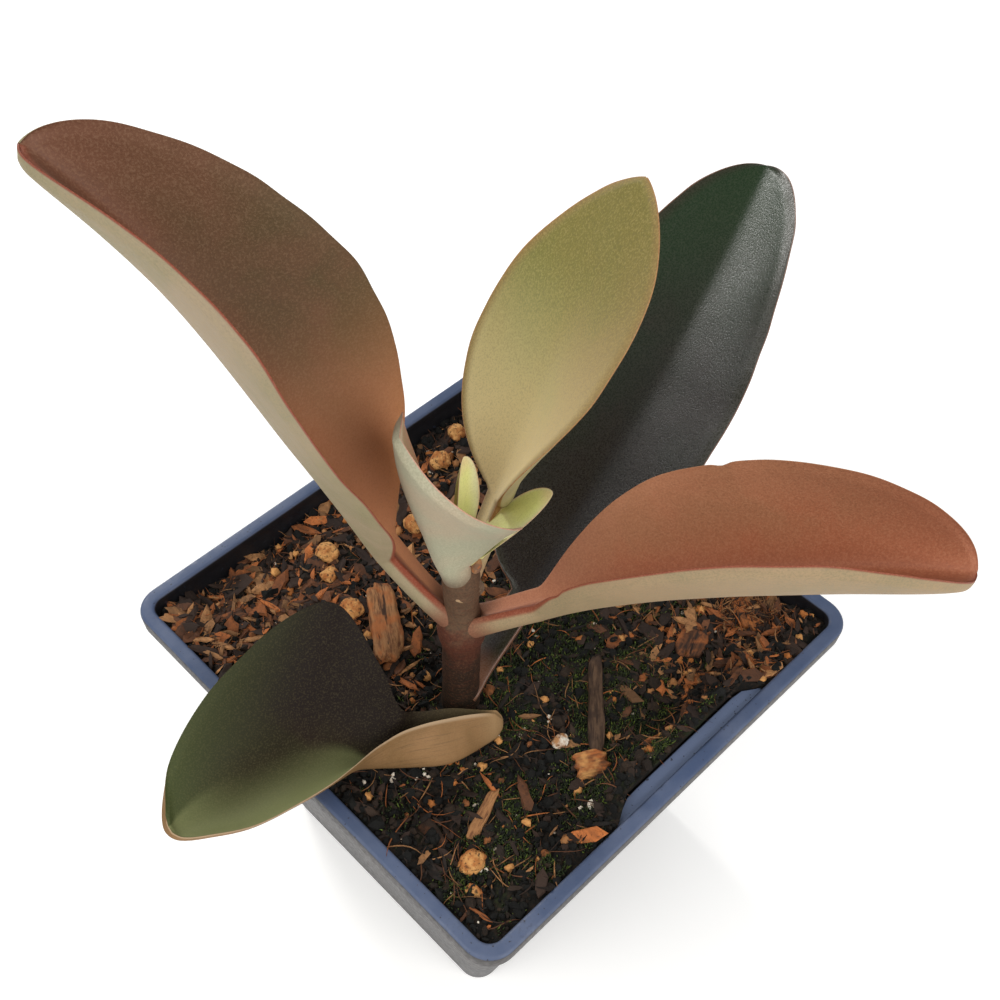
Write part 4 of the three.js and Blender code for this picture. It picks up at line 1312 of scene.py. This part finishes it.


# The left leaf's base colour, about twice as light as its blade, is painted light over the shade inside its
# cupped base near the petiole.
LeftLeafLook = look_class(
    "LeftLeafLook", "Looks of the left coppery leaf",
    # side: the red inside the near margin, partly the leaf's own tone and partly painted light over the shade
    # of the fold.
    blade=(103, 76, 54), mottle=(86, 73, 47), side=(122, 72, 50), base=(206, 140, 100), margin=(128, 60, 38),
    rim=(128, 60, 38), under=(154, 137, 110), under_mottle=(138, 129, 97), tip=(112, 74, 55),
    joint=(124, 82, 60), fleck_colour=(190, 160, 130), sheen_tint=(190, 150, 130),
    margin_width=4.0, base_to=0.6, side_from=-0.35, side_to=0.3, fleck=0.1, roughness=0.6, sheen=0.1,
    margin_side=1, rim_width=0.55, dimples=0.12, specular=0.35, striae=0.1, tip_from=0.6,
)
RightLeafLook = look_class(
    "RightLeafLook", "Looks of the right coppery leaf",
    blade=(172, 116, 84), mottle=(160, 110, 78), side=(162, 97, 67), base=(166, 108, 80),
    margin=(132, 66, 44),
    rim=(132, 66, 44), under=(154, 133, 101), under_mottle=(144, 128, 96), tip=(160, 98, 70),
    joint=(124, 82, 60), fleck_colour=(205, 160, 125), sheen_tint=(200, 150, 130),
    margin_width=3.0, base_to=0.3, side_from=0.7, side_to=0.1, fleck=0.14, roughness=0.6, sheen=0.1,
    margin_side=-1, rim_width=0.55, dimples=0.12, specular=0.35, striae=0.1, tip_from=0.6,
)
OliveLeafLook = look_class(
    "OliveLeafLook", "Looks of the upright olive leaf",
    blade=(128, 121, 56), mottle=(117, 119, 54), side=(146, 122, 72), base=(214, 194, 140),
    margin=(136, 110, 56),
    rim=(160, 116, 70), under=(170, 160, 120), under_mottle=(160, 150, 108), tip=(118, 108, 44),
    joint=(170, 138, 104), fleck_colour=(206, 186, 128), sheen_tint=(220, 200, 150),
    margin_width=2.5, base_to=0.75, side_from=0.2, side_to=-0.9, fleck=0.18, roughness=0.58, sheen=0.08,
    margin_side=0, rim_width=0.35, dimples=0.08, specular=0.4, striae=0.1, tip_from=0.4,
)
DarkLeafLook = look_class(
    "DarkLeafLook", "Looks of the large dark leaf",
    blade=(36, 30, 22), mottle=(28, 32, 19), side=(24, 38, 17), base=(30, 23, 19), margin=(40, 38, 24),
    rim=(116, 80, 62), under=(140, 112, 78), under_mottle=(122, 100, 68), tip=(24, 44, 18),
    joint=(112, 78, 60), fleck_colour=(120, 112, 90), sheen_tint=(150, 160, 150),
    margin_width=3.0, base_to=0.7, side_from=0.1, side_to=0.9, fleck=0.06, roughness=0.3, sheen=0.0,
    margin_side=0, rim_width=0.3, dimples=0.03, specular=0.5, striae=0.2, tip_from=0.5,
)
SpoonLeafLook = look_class(
    "SpoonLeafLook", "Looks of the spoon leaf over the pot's edge",
    blade=(40, 30, 20), mottle=(36, 33, 18), side=(28, 20, 17), base=(92, 80, 54), margin=(116, 120, 80),
    rim=(172, 146, 116), under=(146, 112, 76), under_mottle=(126, 96, 62), tip=(76, 84, 50),
    joint=(150, 120, 84), fleck_colour=(150, 140, 104), sheen_tint=(150, 150, 130),
    margin_width=24.0, base_to=0.4, side_from=0.1, side_to=-0.6, fleck=0.08, roughness=0.55, sheen=0.02,
    margin_side=1, rim_width=0.6, dimples=0.1, specular=0.12, striae=0.4, tip_from=0.6,
)
YoungLeafLook = look_class(
    "YoungLeafLook", "Looks of the young cupped leaf",
    blade=(170, 140, 110), mottle=(156, 136, 104), side=(170, 132, 106), base=(156, 140, 108),
    margin=(180, 130, 106),
    rim=(190, 140, 118), under=(174, 158, 132), under_mottle=(162, 160, 134), tip=(190, 168, 140),
    joint=(100, 78, 58), fleck_colour=(226, 214, 190), sheen_tint=(210, 210, 200),
    margin_width=1.4, base_to=0.1, side_from=-0.2, side_to=-1.0, fleck=0.12, roughness=0.58, sheen=0.08,
    margin_side=0, rim_width=0.3, dimples=0.1, specular=0.4, striae=0.08, tip_from=0.5,
)
BudLeafLook = look_class(
    "BudLeafLook", "Looks of the two newest leaves",
    blade=(238, 242, 160), mottle=(230, 238, 148), side=(242, 244, 198), base=(216, 218, 150),
    margin=(236, 232, 184),
    rim=(230, 200, 160), under=(192, 192, 106), under_mottle=(182, 186, 96), tip=(234, 216, 160),
    joint=(206, 200, 130), fleck_colour=(242, 240, 210), sheen_tint=(225, 230, 190),
    margin_width=0.7, base_to=0.3, side_from=-0.2, side_to=-1.2, fleck=0.12, roughness=0.5, sheen=0.08,
    margin_side=0, rim_width=0.2, dimples=0.1, specular=0.4, striae=0.0, tip_from=0.8,
)


class PotSizes(bpy.types.PropertyGroup):
    """Sizes of the nursery pot"""

    base_side: length_property("Base side", "Side of the underside, in millimetres", 70)
    lip_width: length_property("Lip width", "Width of the flat lip, in millimetres", 2.9)
    lip_depth: length_property("Lip depth", "Depth of the lip's outer skirt, in millimetres", 4)
    lip_round: length_property("Lip rounding", "Radius of the lip's edges, in millimetres", 0.7)
    wall: length_property("Wall", "Thickness of the walls, in millimetres", 1.2)
    corner_radius: length_property("Corner radius", "Radius of the lip's corners, in millimetres", 5.6)
    inner_corner: length_property("Inner corner radius", "Radius of the corners inside, in millimetres", 2.8)
    ledge_depth: length_property("Ledge depth", "Depth of the inner ledge below the lip, in millimetres", 1.7)
    ledge_width: length_property("Ledge width", "How far the inner ledge stands out, in millimetres", 3.0)
    drain_hole: length_property("Drain hole", "Diameter of a drain hole, in millimetres", 9)
    drain_spacing: length_property("Drain spacing", "Distance between drain holes, in millimetres", 40)
    bow: length_property("Bow", "How far the thin walls bow, in millimetres", 0.5)


class PotColours(bpy.types.PropertyGroup):
    """Colours of the nursery pot"""

    rim: colour_property("Rim", "Colour of the lip", (62, 77, 107))
    rim_pale: colour_property("Rim wear", "Colour of worn places on the lip", (88, 99, 124))
    wall: colour_property("Wall", "Colour of the outer walls", (42, 39, 40))
    wall_dust: colour_property("Wall dust", "Colour of dust on the walls", (55, 50, 48))
    ledge: colour_property("Ledge", "Colour of the ledge inside the lip", (104, 118, 148))
    # The inside colour is painted shade: near-black for the shade on the inner walls, not the plastic's own
    # colour.
    inside: colour_property("Inside", "Colour of the inner walls", (26, 26, 30))
    dirt: colour_property("Dirt", "Colour of splashes of soil", (40, 34, 30))


class PlantColours(bpy.types.PropertyGroup):
    """Colours of the stem and the mix"""

    stem_foot: colour_property("Stem foot", "Colour of the stem at the soil", (32, 27, 18))
    stem_low: colour_property("Stem", "Colour of the lower stem", (46, 30, 20))
    stem_node: colour_property("Stem node", "Colour of the stem's lower node", (82, 42, 28))
    stem_top: colour_property("Stem top", "Colour of the upper stem", (90, 68, 50))
    stem_fleck: colour_property("Stem flecks", "Colour of the stem's felt", (118, 86, 64))
    soil_dark: colour_property("Soil", "Colour of the damp mix", (13, 13, 10))
    soil_brown: colour_property("Soil brown", "Colour of the mix's brown crumbs", (44, 32, 22))
    bark_dark: colour_property("Dark bark", "Colour of wet bark", (45, 31, 23))
    bark_mid: colour_property("Bark", "Colour of bark flakes", (98, 60, 36))
    bark_orange: colour_property("Orange bark", "Colour of fresh bark", (166, 96, 48))
    bark_pale: colour_property("Pale wood", "Colour of pale splinters", (160, 114, 72))
    moss_dark: colour_property("Moss", "Colour of old moss", (38, 48, 22))
    moss_light: colour_property("Moss tips", "Colour of fresh moss", (92, 108, 40))
    pumice: colour_property("Pumice", "Colour of pumice", (206, 152, 90))
    pumice_dark: colour_property("Pumice shade", "Darker colour of pumice", (164, 100, 48))
    perlite: colour_property("Perlite", "Colour of perlite", (232, 226, 210))


class MixAmounts(bpy.types.PropertyGroup):
    """How many loose pieces lie on the soil"""

    crumbs: count_property("Crumbs", "Number of fine crumbs", 8000)
    flakes: count_property("Flakes", "Number of flakes of each kind of bark", 2400)
    fibres: count_property("Fibres", "Number of loose fibres", 1500)
    clump: count_property("Tuft", "Number of fibres in the tuft", 260)
    moss: count_property("Moss", "Number of moss spikes", 22000)
    pumice: count_property("Pumice", "Number of small pumice grains", 420)
    perlite: count_property("Perlite", "Number of small perlite grains", 240)
    seed: count_property("Seed", "Start of the random draws", 7)


class LeafDetail(bpy.types.PropertyGroup):
    """How finely the leaves are made"""

    rows: count_property("Rows", "Rings of points along a leaf", 170, 20)
    columns: count_property("Columns", "Points across a leaf's face", 60, 10)
    wave: length_property("Ripple", "Height of the blades' gentle ripple, in millimetres", 0.5)


LEAF_LOOKS = {
    "leaf_left": LeftLeafLook,
    "leaf_right": RightLeafLook,
    "leaf_back_olive": OliveLeafLook,
    "leaf_back_dark": DarkLeafLook,
    "leaf_front_spoon": SpoonLeafLook,
    "leaf_front_cupped": YoungLeafLook,
    "bud_leaf": BudLeafLook,
}


def group_property(kind, name, description):
    """A group of settings inside the plant's own."""
    return bpy.props.PointerProperty(type=kind, name=name, description=description)


class PlantSettings(bpy.types.PropertyGroup):
    """Everything about the plant and its pot that a user may change"""

    pot: group_property(PotSizes, "Pot", "Sizes of the pot")
    pot_colours: group_property(PotColours, "Pot colours", "Colours of the pot")
    colours: group_property(PlantColours, "Colours", "Colours of stem and mix")
    amounts: group_property(MixAmounts, "Mix", "Amounts of loose pieces")
    detail: group_property(LeafDetail, "Leaf detail", "Fineness of the leaves")


for look_name, look_type in LEAF_LOOKS.items():
    PlantSettings.__annotations__[look_name] = group_property(
        look_type, look_type.__doc__, look_type.__doc__
    )


# ---------------------------------------------------------------- operators


def settings(context):
    """The scene's own settings of the plant."""
    return context.scene.kalanchoe


class KALANCHOE_OT_pot(bpy.types.Operator):
    """Makes the square nursery pot"""

    bl_idname = "kalanchoe.pot"
    bl_label = "Nursery pot"

    def execute(self, context):
        chosen = settings(context)
        pot = build_pot(pot_material(chosen.pot_colours), chosen.pot)
        finish_piece(pot, "pot_plastic", "pot")
        return {"FINISHED"}


class KALANCHOE_OT_soil(bpy.types.Operator):
    """Makes the crumbly surface of the potting mix"""

    bl_idname = "kalanchoe.soil"
    bl_label = "Potting mix"

    def execute(self, context):
        soil = build_soil(soil_material(settings(context).colours))
        finish_piece(soil, "soil_mix", "potting_soil")
        return {"FINISHED"}


class KALANCHOE_OT_stem(bpy.types.Operator):
    """Makes the stem and the bud in its upper crook"""

    bl_idname = "kalanchoe.stem"
    bl_label = "Stem"

    def execute(self, context):
        c = settings(context).colours
        finish_piece(build_stem(stem_material(c)), "stem_bark", "stem")
        bud = build_axil_bud(stone_material("axil bud", c.stem_fleck, c.bark_pale, c.bark_orange))
        finish_piece(bud, "leaf_bud")
        return {"FINISHED"}


class KALANCHOE_OT_leaves(bpy.types.Operator):
    """Makes the six large leaves and the two bud leaves"""

    bl_idname = "kalanchoe.leaves"
    bl_label = "Leaves"

    def execute(self, context):
        chosen = settings(context)
        detail = chosen.detail
        for number, (node, leaf) in enumerate(LEAVES.items()):
            bud = node.startswith("bud_leaf")
            look_name = "bud_leaf" if bud else node
            material = leaf_material(node.replace("_", " ") + " felt", getattr(chosen, look_name))
            wave = detail.wave * (0.3 if bud else 1.0)
            points, faces, values, uv = build_leaf(
                partial(blade_surface, leaf), partial(leaf_thickness, leaf), 50 + 10 * number,
                detail.rows, detail.columns, wave, LEAF_NICKS.get(node, ()),
            )
            piece = make_object(node + "_blade", points, faces, material, values, uv)
            finish_piece(piece, leaf["slot"], node)
        material = leaf_material("spoon leaf felt", chosen.leaf_front_spoon)
        points, faces, values, uv = build_leaf(
            spoon_surface, spoon_thickness, 130, detail.rows, detail.columns, detail.wave
        )
        piece = make_object("leaf_front_spoon_blade", points, faces, material, values, uv)
        finish_piece(piece, "leaf_dark", "leaf_front_spoon")
        return {"FINISHED"}


class KALANCHOE_OT_mix(bpy.types.Operator):
    """Scatters crumbs, flakes, fibres, moss and small grains over the soil"""

    bl_idname = "kalanchoe.mix"
    bl_label = "Loose mix"

    def execute(self, context):
        chosen = settings(context)
        c, amounts = chosen.colours, chosen.amounts
        rng = np.random.default_rng(amounts.seed)
        crumb = litter_material("crumbs", 0.9, 1400, 0.0004, 0.4, c.soil_dark)
        flake = litter_material("bark flakes", 0.8, 900, 0.0004, 0.5, c.bark_dark, (1, 0.3, 1))
        fibre = litter_material("fibres", 0.8, 1500, 0.0002, 0.3, c.bark_dark)
        moss = litter_material("moss", 0.75, 1500, 0.0002, 0.2, c.moss_dark)
        grain = litter_material("small grains", 0.85, 1600, 0.0003, 0.5, c.pumice_dark)
        white = litter_material("small perlite", 0.85, 1600, 0.0003, 0.3, c.bark_pale)
        black = tuple(0.5 * part for part in c.soil_dark)
        peat = (black, c.soil_dark, c.soil_dark, c.soil_brown)
        shadow = (c.soil_dark, c.soil_dark, c.soil_brown, c.bark_dark)
        warm = (c.bark_mid, c.bark_orange, c.bark_dark, c.bark_dark, c.bark_pale)
        tan = (c.bark_mid, c.bark_pale, c.bark_dark, c.bark_orange)
        stony = (c.pumice, c.pumice_dark, c.bark_mid, c.bark_pale)
        finish_piece(build_crumbs(crumb, peat, rng, amounts.crumbs), "soil_mix")
        for name, palette, density, length, lift in (
            ("dark_flakes", shadow, even_density(0.8), (0.3, 2.4), -0.1),
            ("bark_flakes", warm, litter_density, (0.4, 3.6), 0.1),
        ):
            flakes = build_flakes(name, flake, palette, rng, amounts.flakes, density, length, lift)
            finish_piece(flakes, "bark")
        x, y = scatter(rng, amounts.fibres, litter_over(0.3), 2.5)
        loose = build_fibres("loose_fibres", fibre, tan, rng, x, y, (3, 9), 0.6, 14, (0.06, 0.15))
        finish_piece(loose, "bark")
        x, y = clump_places(rng, amounts.clump)
        tuft = build_fibres("fibre_clump", fibre, tan, rng, x, y, (2.5, 5.5), 1.1, 60, (0.07, 0.16))
        finish_piece(tuft, "bark")
        mossy = (c.moss_dark, c.moss_dark, c.moss_dark, c.moss_light)
        finish_piece(build_moss(moss, mossy, rng, amounts.moss), "soil_mix")
        for slot, material, palette, count, density, size in (
            ("pumice", grain, stony, amounts.pumice, litter_over(0.25), (0.3, 1.9)),
            ("perlite", white, (c.perlite,), amounts.perlite, even_density(0.6), (0.2, 1.0)),
        ):
            grains = build_granules(slot + "_crumbs", material, palette, rng, count, density, size)
            finish_piece(grains, slot)
        return {"FINISHED"}


class KALANCHOE_OT_top_dressing(bpy.types.Operator):
    """Makes the larger pebbles, bark chips and the stick on the soil"""

    bl_idname = "kalanchoe.top_dressing"
    bl_label = "Pebbles and chips"

    def execute(self, context):
        c = settings(context).colours
        pumice = stone_material("pumice", c.pumice, c.pumice_dark, c.bark_dark)
        perlite = stone_material("perlite", c.perlite, c.bark_pale, c.bark_mid)
        for number in range(1, 10):
            node = f"pumice_pebble_{number}"
            finish_piece(build_pebble(node, f"pumice_{number}", pumice, 200 + number, 0.05), "pumice", node)
        for number in range(1, 4):
            node = f"perlite_grain_{number}"
            grain = build_pebble(node, f"perlite_{number}", perlite, 230 + number, 0.06)
            finish_piece(grain, "perlite", node)
        tones = {
            "bark_chip_1": (c.bark_pale, c.bark_mid, c.bark_orange),
            "bark_chip_2": (c.bark_mid, c.bark_dark, c.bark_orange),
            "bark_chip_3": (c.bark_orange, c.bark_mid, c.pumice),
            "bark_chip_4": (c.bark_dark, c.soil_brown, c.bark_mid),
            "bark_chip_5": (c.bark_mid, c.bark_dark, c.bark_orange),
            "bark_chip_6": (c.bark_orange, c.bark_mid, c.pumice_dark),
            "bark_chip_7": (c.bark_pale, c.bark_mid, c.bark_pale),
            "wood_stick": (c.stem_top, c.stem_low, c.bark_dark),
        }
        for number, (node, tone) in enumerate(tones.items()):
            material = wood_material(node.replace("_", " "), tone, CHIPS[node][3])
            finish_piece(build_chip(node, node + "_splinter", material, 250 + 9 * number), "bark", node)
        return {"FINISHED"}


class KALANCHOE_OT_stage(bpy.types.Operator):
    """Makes the pale floor, the soft lights and the camera"""

    bl_idname = "kalanchoe.stage"
    bl_label = "Stage"

    def execute(self, context):
        build_floor()
        build_lights()
        build_camera()
        context.scene.view_settings.view_transform = "Standard"
        return {"FINISHED"}


OPERATORS = (
    KALANCHOE_OT_stage,
    KALANCHOE_OT_pot,
    KALANCHOE_OT_soil,
    KALANCHOE_OT_stem,
    KALANCHOE_OT_leaves,
    KALANCHOE_OT_mix,
    KALANCHOE_OT_top_dressing,
)


# ---------------------------------------------------------------- stage

CAMERA_PLACE = (-86.4, -79.0, 256.1)
CAMERA_LEAN = 30  # degrees forward from straight down
CAMERA_HEADING = -43.7
FOCAL_LENGTH = 37.8
CAMERA_SHIFT = (0.05, 0.20)
FLOOR_REACH = 3000


def build_floor():
    """A wide pale disc under the pot, as a fan about its middle."""
    count = 96
    angle = round_angles(count)
    rim = np.stack([np.cos(angle), np.sin(angle), np.zeros(count)], axis=1) * FLOOR_REACH
    points = np.concatenate([rim, [[0, 0, 0]]])
    ring = np.arange(count)
    faces = np.stack([ring, (ring + 1) % count, np.full(count, count)], axis=1)
    material, s, out = new_material("pale floor", Roughness=0.9)
    soft = s.noise(s.here(), 3, 2, 0.5)
    s.set(out.inputs["Base Color"], s.mix(soft, (0.92, 0.92, 0.91), (0.95, 0.95, 0.94)))
    # Painted light: the floor glows faintly. This keeps it evenly white, washes out the shadows cast on it
    # and lights the leaves from below.
    s.set(out.inputs["Emission Color"], (1.0, 1.0, 0.99))
    out.inputs["Emission Strength"].default_value = 0.22
    make_object("floor", points, faces, material)


def area_light(name, place, aim, size, power, colour):
    """A round soft light at a place in metres, turned to face its aim."""
    light = bpy.data.lights.new(name, "AREA")
    light.shape = "DISK"
    light.size = size
    light.energy = power
    light.color = colour
    lamp = bpy.data.objects.new(name, light)
    bpy.context.scene.collection.objects.link(lamp)
    place, aim = np.array(place, float), np.array(aim, float)
    lamp.location = place
    direction = aim - place
    lamp.rotation_euler = (
        math.atan2(math.hypot(direction[0], direction[1]), -direction[2]),
        0,
        math.atan2(direction[1], direction[0]) - math.pi / 2,
    )


def build_lights():
    """A soft key from the -X side, a smaller one from +Y, a broad fill from -Y and a pale sky."""
    world = bpy.data.worlds.new("pale sky")
    bpy.context.scene.world = world
    world.use_nodes = True
    background = world.node_tree.nodes["Background"]
    background.inputs["Color"].default_value = (0.93, 0.96, 1.0, 1)
    background.inputs["Strength"].default_value = 0.4
    aim = (0, 0, 0.09)
    area_light("key", (-0.75, 0.05, 0.84), aim, 0.6, 4.8, (1.0, 0.98, 0.95))
    area_light("back", (0.17, 1.0, 0.71), aim, 0.35, 5.5, (1.0, 0.98, 0.95))
    area_light("fill", (-0.1, -1.0, 0.85), aim, 1.0, 9.5, (1.0, 0.97, 0.94))


def build_camera():
    """The camera, above the pot's -X -Y corner and leaning towards it."""
    data = bpy.data.cameras.new("camera")
    data.lens = FOCAL_LENGTH
    data.sensor_width = 36
    data.shift_x, data.shift_y = CAMERA_SHIFT
    data.clip_start = 0.01
    camera = bpy.data.objects.new("camera", data)
    bpy.context.scene.collection.objects.link(camera)
    camera.location = [c * MM for c in CAMERA_PLACE]
    camera.rotation_euler = (math.radians(CAMERA_LEAN), 0, math.radians(CAMERA_HEADING))
    bpy.context.scene.camera = camera


# ---------------------------------------------------------------- panel and registration


class KALANCHOE_PT_panel(bpy.types.Panel):
    """Lists the settings and the pieces"""

    bl_idname = "KALANCHOE_PT_panel"
    bl_label = "Potted kalanchoe"
    bl_space_type = "VIEW_3D"
    bl_region_type = "UI"
    bl_category = "Kalanchoe"

    def draw(self, context):
        chosen = settings(context)
        for operator in OPERATORS:
            self.layout.operator(operator.bl_idname)
        for key in PlantSettings.__annotations__:
            group = getattr(chosen, key)
            box = self.layout.box()
            box.label(text=key.replace("_", " "))
            for field in type(group).__annotations__:
                box.prop(group, field)


GROUPS = (*LEAF_LOOKS.values(), PotSizes, PotColours, PlantColours, MixAmounts, LeafDetail, PlantSettings)


def register():
    """Registers every class and gives the scene its settings."""
    for made in (*GROUPS, *OPERATORS, KALANCHOE_PT_panel):
        bpy.utils.register_class(made)
    bpy.types.Scene.kalanchoe = bpy.props.PointerProperty(
        type=PlantSettings, name="Kalanchoe", description="Settings of the potted kalanchoe"
    )


def unregister():
    """Takes the settings and every class away again."""
    del bpy.types.Scene.kalanchoe
    for made in reversed((*GROUPS, *OPERATORS, KALANCHOE_PT_panel)):
        bpy.utils.unregister_class(made)


def main():
    """Registers the classes, makes every piece in order and writes the part's size."""
    register()
    for operator in OPERATORS:
        family, name = operator.bl_idname.split(".")
        getattr(getattr(bpy.ops, family), name)()


if __name__ == "__main__":
    main()
